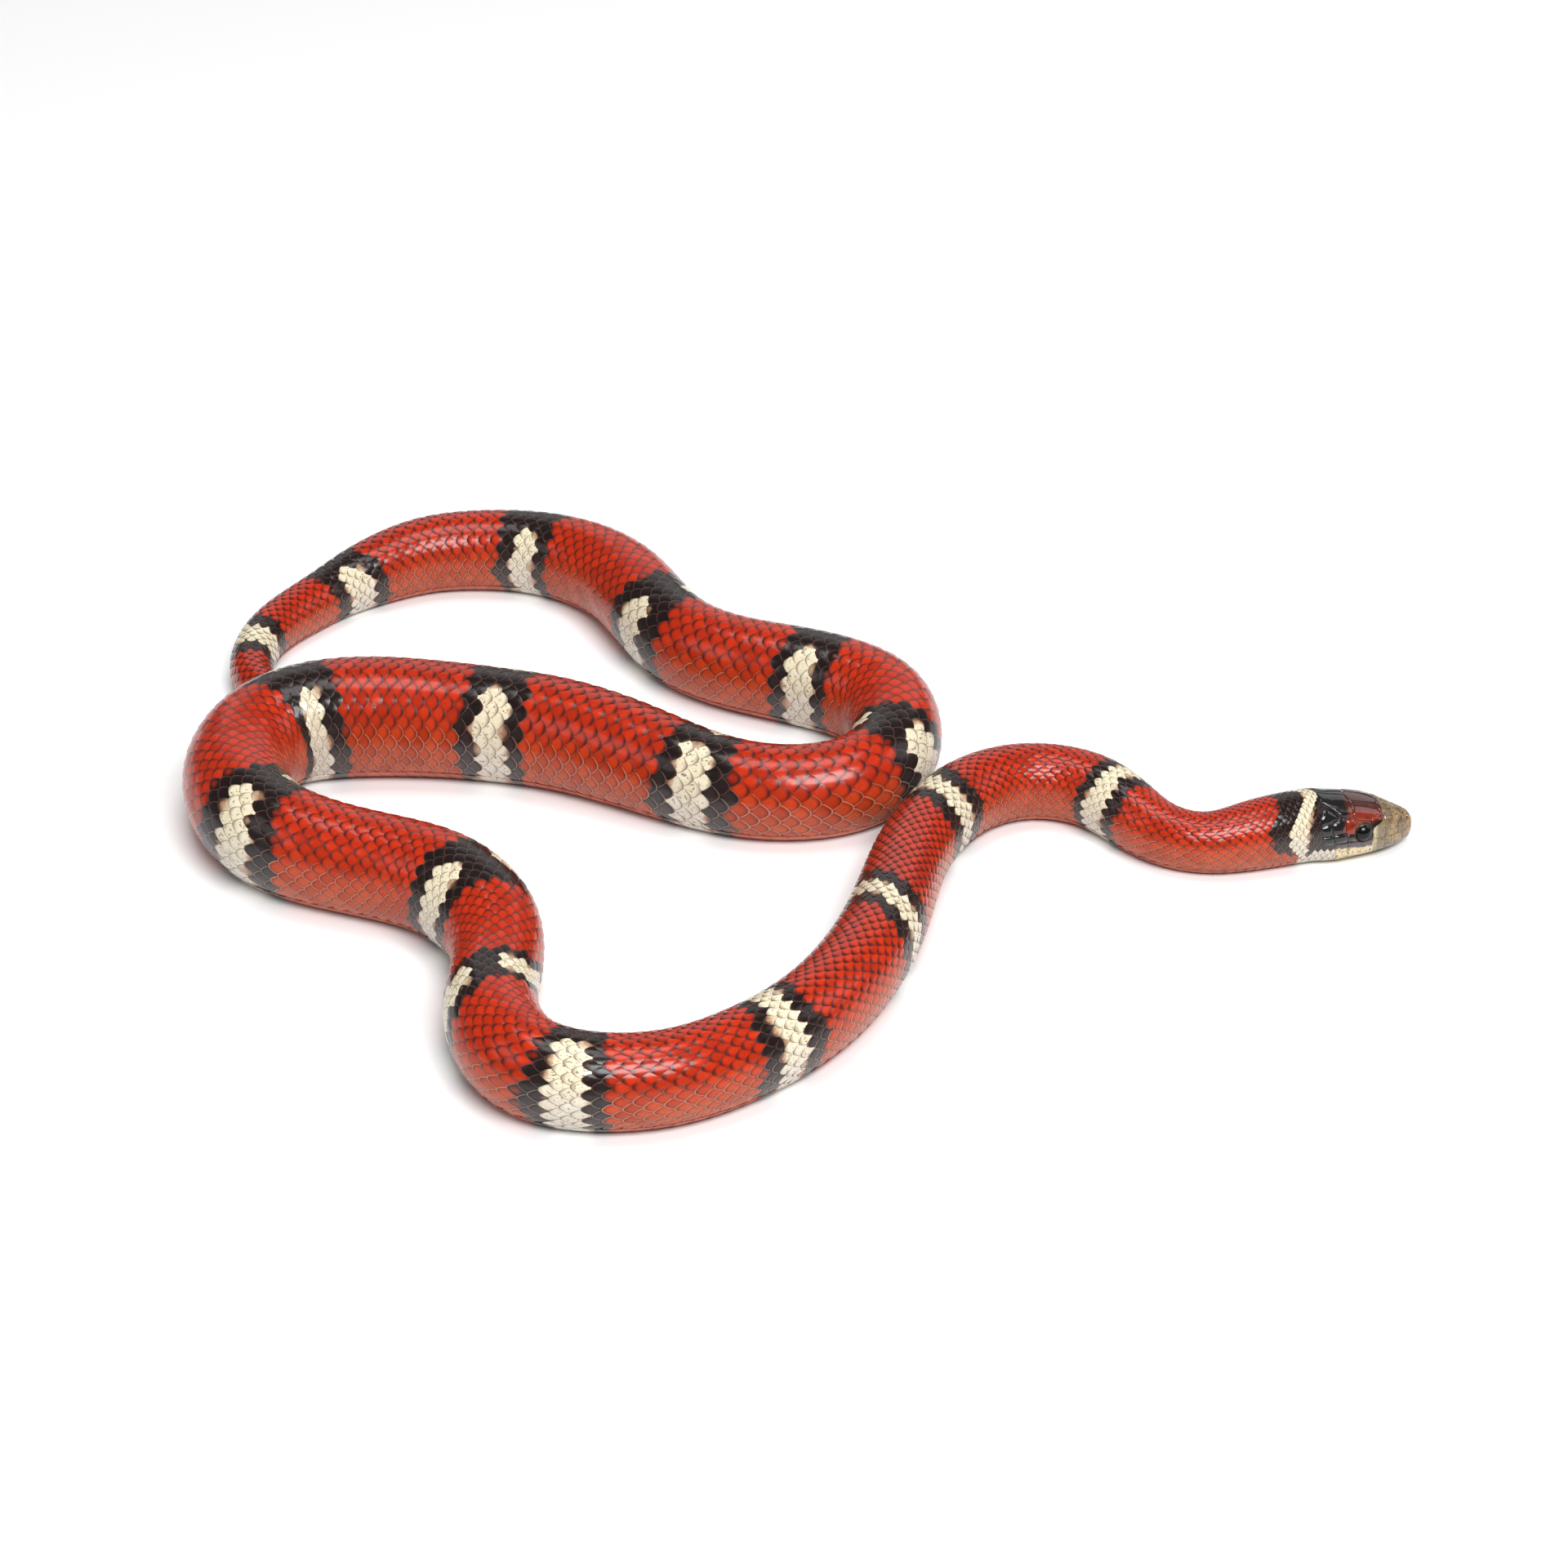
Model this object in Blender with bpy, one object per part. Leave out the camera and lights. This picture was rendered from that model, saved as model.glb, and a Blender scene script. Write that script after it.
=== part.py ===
"""A milk snake at rest on the floor, life size, as a still museum model.

The snake follows one plan route from the tip of the snout to the tip of the tail. Rings set
square to that route give the head and the body, and thin cuts part them into named lengths.
Metres, +Z up, +X to the right where the head points, floor at z = 0.
"""

import math

import bmesh
import bpy
import numpy as np

# Frame: moves the route so that the middle of the object's box stands over the origin
FRAME_SHIFT = (-0.0029, 0.0172)
SAMPLES = 3000          # places along the route for measuring it
AIM_STEP = 0.0005       # half the length that gives the route's direction at a place

# Plan route of the backbone, from the snout to the tip of the tail
ROUTE = (
    (0.1498, -0.0238), (0.137, -0.0268), (0.124, -0.0300), (0.110, -0.0340),
    (0.100, -0.0355), (0.090, -0.0320), (0.081, -0.0225), (0.074, -0.0155),
    (0.066, -0.0120), (0.056, -0.0120), (0.046, -0.0170), (0.037, -0.0280),
    (0.030, -0.0440), (0.026, -0.0600), (0.022, -0.0760), (0.015, -0.0940),
    (0.002, -0.1130), (-0.011, -0.1240), (-0.023, -0.1305), (-0.036, -0.1330),
    (-0.046, -0.1322), (-0.0555, -0.1278), (-0.0622, -0.1180), (-0.0650, -0.1040),
    (-0.0645, -0.0900), (-0.0660, -0.0785), (-0.0718, -0.0675), (-0.0798, -0.0595),
    (-0.090, -0.0540), (-0.106, -0.0480), (-0.1205, -0.0395), (-0.1297, -0.0244),
    (-0.1301, -0.0068), (-0.1232, 0.0043), (-0.111, 0.0090), (-0.098, 0.0100),
    (-0.083, 0.0092), (-0.069, 0.0070), (-0.057, 0.0040), (-0.043, -0.0020),
    (-0.032, -0.0080), (-0.022, -0.0135), (-0.009, -0.0185), (0.004, -0.0195),
    (0.016, -0.0160), (0.0249, -0.0060), (0.0272, 0.0080), (0.0239, 0.0190),
    (0.015, 0.0270), (-0.003, 0.0355), (-0.013, 0.0400), (-0.026, 0.0505),
    (-0.0335, 0.0630), (-0.0435, 0.0815), (-0.0535, 0.0910), (-0.065, 0.0968),
    (-0.080, 0.0990), (-0.0945, 0.0970), (-0.106, 0.0912), (-0.116, 0.0835),
    (-0.1235, 0.0752), (-0.1322, 0.0625), (-0.1350, 0.0525), (-0.1346, 0.0430),
    (-0.1300, 0.0340), (-0.119, 0.0310), (-0.104, 0.0335), (-0.088, 0.0330),
    (-0.073, 0.0280), (-0.063, 0.0210),
)

# Girth of the body: distance from the snout, and half the width there
GIRTH = (
    (0.028, 0.0084), (0.042, 0.0079), (0.051, 0.0071), (0.061, 0.0072),
    (0.075, 0.0083), (0.095, 0.0088), (0.119, 0.0091), (0.149, 0.0093),
    (0.182, 0.0100), (0.217, 0.0102), (0.257, 0.0102), (0.277, 0.0106),
    (0.299, 0.0111), (0.315, 0.0107), (0.328, 0.0106), (0.342, 0.0117),
    (0.358, 0.0122), (0.378, 0.0120), (0.394, 0.0123), (0.412, 0.0129),
    (0.447, 0.0133), (0.475, 0.0141), (0.502, 0.0136), (0.527, 0.0132),
    (0.547, 0.0126), (0.567, 0.0116), (0.585, 0.0111), (0.602, 0.0111),
    (0.632, 0.0116), (0.657, 0.0119), (0.682, 0.0115), (0.707, 0.0113),
    (0.727, 0.0113), (0.752, 0.0109), (0.772, 0.0103), (0.797, 0.0096),
    (0.812, 0.0085), (0.827, 0.0070), (0.839, 0.0065), (0.857, 0.0059),
    (0.877, 0.0054), (0.897, 0.0048), (0.917, 0.0040), (0.934, 0.0029),
    (0.948, 0.0012),
)
BODY_TALL = 1.08        # height of the body's ellipse over its width
BODY_SINK = 0.88        # height of its centre over the half height, which leaves a flat belly
RING_STEP = 0.006
TAIL_RING_STEP = 0.004
ARC_POINTS = 22         # points round the ellipse, from one edge of the belly to the other

# Named lengths: where each one ends along the route
LENGTHS = (
    ("neck", 0.085), ("body_1", 0.160), ("body_2", 0.262), ("body_3", 0.328),
    ("body_4", 0.420), ("body_5", 0.478), ("body_6", 0.590), ("body_7", 0.655),
    ("body_8", 0.735), ("body_9", 0.818), ("tail_1", 0.888), ("tail_2", 0.948),
)
CUT = 0.0003            # width of the thin cuts between two lengths
HEAD_LENGTH = 0.028

# Head: distance from the snout, half width, crown height, height of the widest line,
# height of the mouth line, height of the chin, squareness of the crown
HEAD_RINGS = (
    (0.0000, 0.0011, 0.0066, 0.0053, 0.0040, 0.0033, 2.0),
    (0.0006, 0.0022, 0.0076, 0.0051, 0.0037, 0.0025, 2.1),
    (0.0018, 0.0033, 0.0087, 0.0048, 0.0035, 0.0019, 2.2),
    (0.0040, 0.0046, 0.0099, 0.0048, 0.0034, 0.0015, 2.3),
    (0.0070, 0.0059, 0.0116, 0.0050, 0.0033, 0.0012, 2.4),
    (0.0100, 0.0069, 0.0130, 0.0055, 0.0034, 0.0010, 2.4),
    (0.0135, 0.0077, 0.0142, 0.0061, 0.0036, 0.0008, 2.3),
    (0.0170, 0.0082, 0.0150, 0.0066, 0.0039, 0.0006, 2.2),
    (0.0205, 0.0085, 0.0157, 0.0071, 0.0042, 0.0003, 2.1),
    (0.0240, 0.0086, 0.0164, 0.0075, 0.0046, 0.0000, 2.05),
    (0.0280, 0.0084, 0.0170, 0.0080, 0.0050, 0.0000, 2.0),
)
HEAD_STEP = 0.0009
HEAD_CROWDING = 1.15    # over 1, the rings stand closer towards the snout
CROWN_POINTS = 11
CHEEK_POINTS = 4
JAW_POINTS = 6
CHEEK_CLOSING = 0.0012  # how far under the chin the curve of the cheek would close
CHEEK_CHIN = 0.5        # how much of the chin's height that curve follows
CHIN_FLAT = 0.40        # half width of the chin's flat over the half width of the head
MOUTH_CORNER = 0.0205   # how far back the mouth line runs
MOUTH_HALF_HEIGHT = 0.00016
MOUTH_DEPTH = 0.0005
MOUTH_FADE = 0.002      # length over which the mouth line ends
SNOUT_HALF = 0.003      # half width of the snout under which the mouth line gets shallower
JAW_TUCK = 0.0004       # how far the lower lip stands in from the upper one

# Eyes, brow and nostrils
EYE_BACK = 0.0147
EYE_ANGLE = math.radians(76)    # from the crown, round the side of the head
EYE_RADIUS = 0.0025
EYE_PROUD = 0.0008
EYE_FACES = (20, 12)
CUP_FACES = (24, 14)
BROW_RISE = 0.0004
BROW_RADIUS = 0.0033
BROW_SPREAD = 0.0009
NOSTRIL_BACK = 0.0038
NOSTRIL_ANGLE = math.radians(45)
NOSTRIL_RADIUS = 0.0005
NOSTRIL_FACES = (10, 6)

# Crown shields of the right side as outlines: distance from the snout, distance from the middle
SEAM = 0.00012
INTERNASAL = ((0.0024, SEAM), (0.0022, 0.0019), (0.0032, 0.0026), (0.0048, 0.0024), (0.0048, SEAM))
PREFRONTAL = ((0.0050, SEAM), (0.0050, 0.0027), (0.0066, 0.0041), (0.0100, 0.0047),
              (0.0094, 0.0031), (0.0090, SEAM))
FRONTAL_HALF = ((0.0092, 0.0), (0.0096, 0.0031), (0.0138, 0.0027), (0.0176, 0.0))
SUPRAOCULAR = ((0.0102, 0.0034), (0.0106, 0.0052), (0.0165, 0.0058), (0.0168, 0.0030),
               (0.0140, 0.0029))
PARIETAL = ((0.0180, SEAM), (0.0170, 0.0028), (0.0170, 0.0057), (0.0205, 0.0062),
            (0.0245, 0.0030), (0.0245, SEAM))
SHIELD_RISE = 0.00018
SHIELD_DEPTH = 0.0007
SHIELD_GRID = 0.0016
CREASE = math.radians(40)       # edges sharper than this stay crisp


def spline(knots, values):
    """A smooth curve through the values: a natural cubic spline."""
    knots = np.asarray(knots, float)
    values = np.asarray(values, float)
    gaps = np.diff(knots)
    count = len(knots)
    matrix = np.eye(count)
    right = np.zeros_like(values)
    for i in range(1, count - 1):
        matrix[i, i - 1:i + 2] = gaps[i - 1], 2 * (gaps[i - 1] + gaps[i]), gaps[i]
        after = (values[i + 1] - values[i]) / gaps[i]
        before = (values[i] - values[i - 1]) / gaps[i - 1]
        right[i] = 6 * (after - before)
    bends = np.linalg.solve(matrix, right)

    def at(where):
        i = int(np.clip(np.searchsorted(knots, where) - 1, 0, count - 2))
        low = (knots[i + 1] - where) / gaps[i]
        high = 1 - low
        bend = (low ** 3 - low) * bends[i] + (high ** 3 - high) * bends[i + 1]
        return low * values[i] + high * values[i + 1] + bend * gaps[i] ** 2 / 6

    return at


def by_arc_length(points):
    """The route as a function of true distance along it, and its whole length."""
    points = np.asarray(points, float)
    chords = np.concatenate([[0], np.cumsum(np.hypot(*np.diff(points, axis=0).T))])
    curve = spline(chords, points)
    fine = np.linspace(0, chords[-1], SAMPLES)
    places = np.array([curve(u) for u in fine])
    arc = np.concatenate([[0], np.cumsum(np.hypot(*np.diff(places, axis=0).T))])

    def at(distance):
        return curve(np.interp(distance, arc, fine))

    return at, arc[-1]


place_at, ROUTE_LENGTH = by_arc_length(ROUTE)
half_width_at = spline(*np.array(GIRTH).T)
head_ring_at = spline(np.array(HEAD_RINGS)[:, 0], np.array(HEAD_RINGS)[:, 1:])


def to_world(distance, side, height):
    """A point given by its distance along the route, its offset to the snake's left, its height."""
    place = place_at(distance)
    ahead = place_at(max(distance - AIM_STEP, 0)) - place_at(min(distance + AIM_STEP, ROUTE_LENGTH))
    ahead = ahead / np.hypot(*ahead)
    left = np.array([-ahead[1], ahead[0]])
    x, y = place + side * left + np.array(FRAME_SHIFT)
    return x, y, height


def body_ring(distance):
    """An ellipse cut flat by the floor, from the left edge of the belly over the back."""
    half = half_width_at(distance)
    tall = half * BODY_TALL
    belly = math.pi - math.acos(BODY_SINK)
    turns = np.linspace(-belly, belly, ARC_POINTS)
    return [
        to_world(distance, -half * math.sin(t), max(0.0, tall * (BODY_SINK + math.cos(t))))
        for t in turns
    ]


def crown_height(distance, side):
    """Height of the top of the head at an offset from its middle."""
    half, crown, widest, _, _, square = head_ring_at(distance)
    across = min(abs(side) / half, 1)
    return widest + (crown - widest) * (1 - across ** square) ** (1 / square)


def cheek_width(ring, height):
    """Half width of the head at a height below its widest line."""
    half, _, widest, _, chin, _ = ring
    drop = (widest - height) / (widest - chin * CHEEK_CHIN + CHEEK_CLOSING)
    return half * math.sqrt(max(0, 1 - drop ** 2))


def head_half_ring(distance):
    """Right half of a head ring as (side, height), from the crown down to the chin's flat."""
    ring = head_ring_at(distance)
    half, crown, widest, mouth, chin, square = ring
    chin = max(chin, 0.0)
    points = []
    for t in np.linspace(0, math.pi / 2, CROWN_POINTS):
        points.append((
            half * math.sin(t) ** (2 / square),
            widest + (crown - widest) * math.cos(t) ** (2 / square),
        ))
    for height in np.linspace(widest, mouth + MOUTH_HALF_HEIGHT, CHEEK_POINTS)[1:]:
        points.append((cheek_width(ring, height), height))
    open_by = min(1.0, max(0.0, (MOUTH_CORNER - distance) / MOUTH_FADE))
    points.append((cheek_width(ring, mouth) - MOUTH_DEPTH * min(open_by, half / SNOUT_HALF), mouth))
    tuck = JAW_TUCK * open_by
    flat = CHIN_FLAT * half
    lip = cheek_width(ring, mouth - MOUTH_HALF_HEIGHT) - tuck
    for t in np.linspace(0, math.pi / 2, JAW_POINTS):
        points.append((
            flat + (lip - flat) * math.cos(t),
            mouth - MOUTH_HALF_HEIGHT - (mouth - MOUTH_HALF_HEIGHT - chin) * math.sin(t),
        ))
    return points


def eye_place(sign):
    """Centre of the eyeball, sunk so that only a low dome stands proud."""
    half, crown, widest, _, _, square = head_ring_at(EYE_BACK)
    side = half * math.sin(EYE_ANGLE) ** (2 / square)
    height = widest + (crown - widest) * math.cos(EYE_ANGLE) ** (2 / square)
    inward = EYE_RADIUS - EYE_PROUD
    side -= inward * math.sin(EYE_ANGLE)
    height -= inward * math.cos(EYE_ANGLE)
    return np.array(to_world(EYE_BACK, sign * side, height))


def with_brow(point, eyes):
    """Lifts the rim round each eye, as the shields over and round it stand out."""
    point = np.array(point)
    for eye in eyes:
        away = point - eye
        reach = np.linalg.norm(away)
        rim = math.exp(-((reach - BROW_RADIUS) / BROW_SPREAD) ** 2)
        point = point + away / reach * BROW_RISE * rim
    return tuple(point)


def head_ring(distance, eyes):
    half = head_half_ring(distance)
    right = [to_world(distance, -side, height) for side, height in half]
    left = [to_world(distance, side, height) for side, height in half[:0:-1]]
    return [with_brow(point, eyes) for point in right + left]


def loft(name, rings):
    """A closed skin through rings of the same number of points."""
    bm = bmesh.new()
    rows = [[bm.verts.new(point) for point in ring] for ring in rings]
    for near, far in zip(rows, rows[1:]):
        for i in range(len(near)):
            j = (i + 1) % len(near)
            bm.faces.new((near[i], near[j], far[j], far[i]))
    bm.faces.new(rows[0])
    bm.faces.new(reversed(rows[-1]))
    bmesh.ops.triangulate(bm, faces=bm.faces)
    bmesh.ops.recalc_face_normals(bm, faces=bm.faces)
    return mesh_object(name, bm)


def mesh_object(name, bm):
    mesh = bpy.data.meshes.new(name)
    bm.to_mesh(mesh)
    bm.free()
    return bpy.data.objects.new(name, mesh)


def surface(name, colour, roughness):
    material = bpy.data.materials.new(name)
    material.use_nodes = True
    shader = material.node_tree.nodes["Principled BSDF"]
    shader.inputs["Base Color"].default_value = (*colour, 1)
    shader.inputs["Roughness"].default_value = roughness
    shader.inputs["Metallic"].default_value = 0
    return material


def body_length(name, start, end):
    """One length of the body between two thin cuts."""
    step = TAIL_RING_STEP if name == "tail_2" else RING_STEP
    count = max(2, round((end - start) / step) + 1)
    return loft(name, [body_ring(s) for s in np.linspace(start, end, count)])


def ball(name, centre, radius, faces):
    bm = bmesh.new()
    bmesh.ops.create_uvsphere(bm, u_segments=faces[0], v_segments=faces[1], radius=radius)
    piece = mesh_object(name, bm)
    piece.location = centre
    return piece


def cut_finely(bm, spacing):
    """Cuts a flat shape into cells of one size, so that it can follow a curved surface."""
    for axis, across in ((0, (1, 0, 0)), (1, (0, 1, 0))):
        start = min(vert.co[axis] for vert in bm.verts) + spacing / 2
        end = max(vert.co[axis] for vert in bm.verts)
        for at in np.arange(start, end, spacing):
            spot = [at if i == axis else 0 for i in range(3)]
            parts = bm.verts[:] + bm.edges[:] + bm.faces[:]
            bmesh.ops.bisect_plane(bm, geom=parts, plane_co=spot, plane_no=across, dist=1e-6)
    bmesh.ops.triangulate(bm, faces=bm.faces)


def shield(name, outline, sign):
    """A low plate on the crown: a prism over its outline, laid on the head."""
    bm = bmesh.new()
    bm.faces.new([bm.verts.new((distance, sign * side, 0)) for distance, side in outline])
    cut_finely(bm, SHIELD_GRID)
    copied = bmesh.ops.extrude_face_region(bm, geom=bm.faces[:])["geom"]
    sunk = {part for part in copied if isinstance(part, bmesh.types.BMVert)}
    for vert in bm.verts:
        distance, side, _ = vert.co
        rise = -SHIELD_DEPTH if vert in sunk else SHIELD_RISE
        vert.co = to_world(distance, side, crown_height(distance, side) + rise)
    bmesh.ops.recalc_face_normals(bm, faces=bm.faces)
    return mesh_object(name, bm)


def crown_shields():
    pieces = []
    for sign, hand in ((-1, "right"), (1, "left")):
        for kind, outline in (
            ("internasal", INTERNASAL),
            ("prefrontal", PREFRONTAL),
            ("supraocular", SUPRAOCULAR),
            ("parietal", PARIETAL),
        ):
            pieces.append(shield(f"{kind}_{hand}", outline, sign))
    back_half = [(d, -side) for d, side in FRONTAL_HALF[-2:0:-1]]
    pieces.append(shield("frontal", list(FRONTAL_HALF) + back_half, 1))
    return pieces


def nostril(sign):
    half, crown, widest, _, _, square = head_ring_at(NOSTRIL_BACK)
    side = half * math.sin(NOSTRIL_ANGLE) ** (2 / square)
    height = widest + (crown - widest) * math.cos(NOSTRIL_ANGLE) ** (2 / square)
    place = to_world(NOSTRIL_BACK, sign * side, height)
    return ball("nostril", place, NOSTRIL_RADIUS, NOSTRIL_FACES)


def boolean(piece, others, operation, scratch):
    """Applies one Boolean with a collection of closed helpers, then removes them."""
    for other in others:
        other.display_type = "WIRE"
        scratch.objects.link(other)
    modifier = piece.modifiers.new(operation.title(), "BOOLEAN")
    modifier.operation = operation
    modifier.operand_type = "COLLECTION"
    modifier.collection = scratch
    modifier.solver = "EXACT"
    bpy.context.view_layer.update()
    graph = bpy.context.evaluated_depsgraph_get()
    mesh = bpy.data.meshes.new_from_object(piece.evaluated_get(graph))
    piece.modifiers.clear()
    piece.data = mesh
    for other in others:
        bpy.data.objects.remove(other)


def largest_surface(piece):
    """Keeps a fused node's largest closed surface."""
    bm = bmesh.new()
    bm.from_mesh(piece.data)
    islands = []
    left = set(bm.verts)
    while left:
        island = {left.pop()}
        front = list(island)
        while front:
            for edge in front.pop().link_edges:
                for vert in edge.verts:
                    if vert in left:
                        left.discard(vert)
                        island.add(vert)
                        front.append(vert)
        islands.append(island)
    islands.sort(key=len)
    for island in islands[:-1]:
        bmesh.ops.delete(bm, geom=list(island), context="VERTS")
    bmesh.ops.triangulate(bm, faces=bm.faces)
    bm.to_mesh(piece.data)
    bm.free()


def head(snake, scratch):
    """The head with its brows, mouth line, eye cups, nostrils and crown shields."""
    eyes = [eye_place(sign) for sign in (-1, 1)]
    count = round(HEAD_LENGTH / HEAD_STEP)
    back = HEAD_LENGTH - CUT / 2
    distances = back * np.linspace(0, 1, count) ** HEAD_CROWDING
    piece = loft("head", [head_ring(distance, eyes) for distance in distances])
    snake.objects.link(piece)
    boolean(piece, crown_shields(), "UNION", scratch)
    cups = [ball("eye_cup", eye, EYE_RADIUS + CUT, CUP_FACES) for eye in eyes]
    boolean(piece, cups + [nostril(-1), nostril(1)], "DIFFERENCE", scratch)
    largest_surface(piece)
    return piece


def main():
    for obj in list(bpy.data.objects):
        bpy.data.objects.remove(obj)
    snake = bpy.data.collections.new("milk_snake")
    scratch = bpy.data.collections.new("cutters")
    for collection in (snake, scratch):
        bpy.context.scene.collection.children.link(collection)
    skin = surface("scaled_skin", (0.53, 0.03, 0.015), 0.4)
    crown = surface("head_shields", (0.02, 0.02, 0.022), 0.3)
    glass = surface("dark_eye", (0.006, 0.005, 0.004), 0.08)

    head(snake, scratch).data.materials.append(crown)
    for sign, name in ((-1, "eye_right"), (1, "eye_left")):
        eye = ball(name, eye_place(sign), EYE_RADIUS, EYE_FACES)
        eye.data.materials.append(glass)
        snake.objects.link(eye)
    start = HEAD_LENGTH
    for name, end in LENGTHS:
        last = end == LENGTHS[-1][1]
        length = body_length(name, start + CUT / 2, end if last else end - CUT / 2)
        length.data.materials.append(skin)
        snake.objects.link(length)
        start = end
    scratch.hide_render = True
    for piece in snake.objects:
        piece.data.shade_smooth()
        piece.data.set_sharp_from_angle(angle=CREASE)


main()
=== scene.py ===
"""A milk snake at rest, life size, as a still museum model: its skin, scales, shields and eyes.

Metres, floor at z = 0. A place on the snake is given by its distance from the snout along the
back, its turn round the body from the middle of the back (right side positive), and its height
over the body's surface.
"""

import math

import bmesh
import bpy
import numpy as np
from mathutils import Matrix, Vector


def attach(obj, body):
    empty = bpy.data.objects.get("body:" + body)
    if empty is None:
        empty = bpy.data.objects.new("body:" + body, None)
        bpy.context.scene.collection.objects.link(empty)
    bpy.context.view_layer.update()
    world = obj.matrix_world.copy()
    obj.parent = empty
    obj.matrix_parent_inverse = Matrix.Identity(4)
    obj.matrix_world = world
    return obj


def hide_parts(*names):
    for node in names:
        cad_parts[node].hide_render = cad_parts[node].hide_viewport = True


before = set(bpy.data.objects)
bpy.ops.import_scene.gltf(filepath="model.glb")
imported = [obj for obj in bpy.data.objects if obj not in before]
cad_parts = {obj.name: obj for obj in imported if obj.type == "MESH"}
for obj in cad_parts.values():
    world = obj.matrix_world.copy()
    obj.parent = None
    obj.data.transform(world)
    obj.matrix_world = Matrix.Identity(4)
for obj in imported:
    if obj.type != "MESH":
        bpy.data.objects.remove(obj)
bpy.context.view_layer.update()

# The view
# A snake on a plain pale floor, seen from a little above and in front of its coils, under a
# wide soft lamp overhead, a smaller one over the viewer, a broad pale one behind and a weak one
# at each side.
VIEW_FROM = (-0.0029, -0.8047, 0.5338)
VIEW_TILT = math.radians(57)
VIEW_LENS = 91.875
VIEW_SENSOR = 36
FLOOR_SIZE = 6.0
FLOOR_COLOUR = (0.90, 0.90, 0.90)
FLOOR_ROUGHNESS = 0.6
FLOOR_GLOSS = 0.5
SKY_STRENGTH = 0.20
LAMPS = (                   # place, size, power
    ("lamp_over", (0.0, 0.12, 1.70), (1.00, 0.70), 11.0),
    ("lamp_back", (0.1, 1.70, 0.95), (2.40, 1.20), 6.5),
    ("lamp_front", (0.38, -1.00, 1.35), (1.00, 0.62), 31.0),
    ("lamp_left", (-0.9, -0.5, 0.7), (0.5, 0.5), 1.2),
    ("lamp_right", (0.9, 0.1, 0.6), (0.4, 0.6), 1.2),
)

camera = bpy.data.objects.new("camera", bpy.data.cameras.new("camera"))
camera.data.lens = VIEW_LENS
camera.data.sensor_width = VIEW_SENSOR
camera.location = VIEW_FROM
camera.rotation_euler = (VIEW_TILT, 0, 0)
bpy.context.scene.collection.objects.link(camera)
bpy.context.scene.camera = camera
bpy.context.scene.view_settings.view_transform = "Standard"


def new_material(name, roughness, coat=0.0, coat_roughness=0.1, gloss=0.3, colour=(1, 1, 1)):
    """A material with its plain values set, its node tree and its shader."""
    material = bpy.data.materials.new(name)
    material.use_nodes = True
    shader = material.node_tree.nodes["Principled BSDF"]
    shader.inputs["Base Color"].default_value = (*colour, 1)
    shader.inputs["Roughness"].default_value = roughness
    shader.inputs["Coat Weight"].default_value = coat
    shader.inputs["Coat Roughness"].default_value = coat_roughness
    shader.inputs["Specular IOR Level"].default_value = gloss
    return material, material.node_tree, shader


def finished_mesh(name, bm):
    mesh = bpy.data.meshes.new(name)
    bm.to_mesh(mesh)
    bm.free()
    return mesh


sheet = bmesh.new()
bmesh.ops.create_grid(sheet, x_segments=1, y_segments=1, size=FLOOR_SIZE / 2)
floor = bpy.data.objects.new("floor", finished_mesh("floor", sheet))
floor.data.materials.append(
    new_material("pale_floor", FLOOR_ROUGHNESS, gloss=FLOOR_GLOSS, colour=FLOOR_COLOUR)[0])
bpy.context.scene.collection.objects.link(floor)

sky = bpy.data.worlds.new("studio")
sky.use_nodes = True
sky.node_tree.nodes["Background"].inputs["Color"].default_value = (1, 1, 1, 1)
sky.node_tree.nodes["Background"].inputs["Strength"].default_value = SKY_STRENGTH
bpy.context.scene.world = sky

for name, place, size, power in LAMPS:
    lamp = bpy.data.lights.new(name, "AREA")
    lamp.shape = "RECTANGLE"
    lamp.size, lamp.size_y = size
    lamp.energy = power
    lit = bpy.data.objects.new(name, lamp)
    lit.location = place
    lit.rotation_euler = Vector(place).to_track_quat("Z", "Y").to_euler()
    bpy.context.scene.collection.objects.link(lit)


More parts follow.
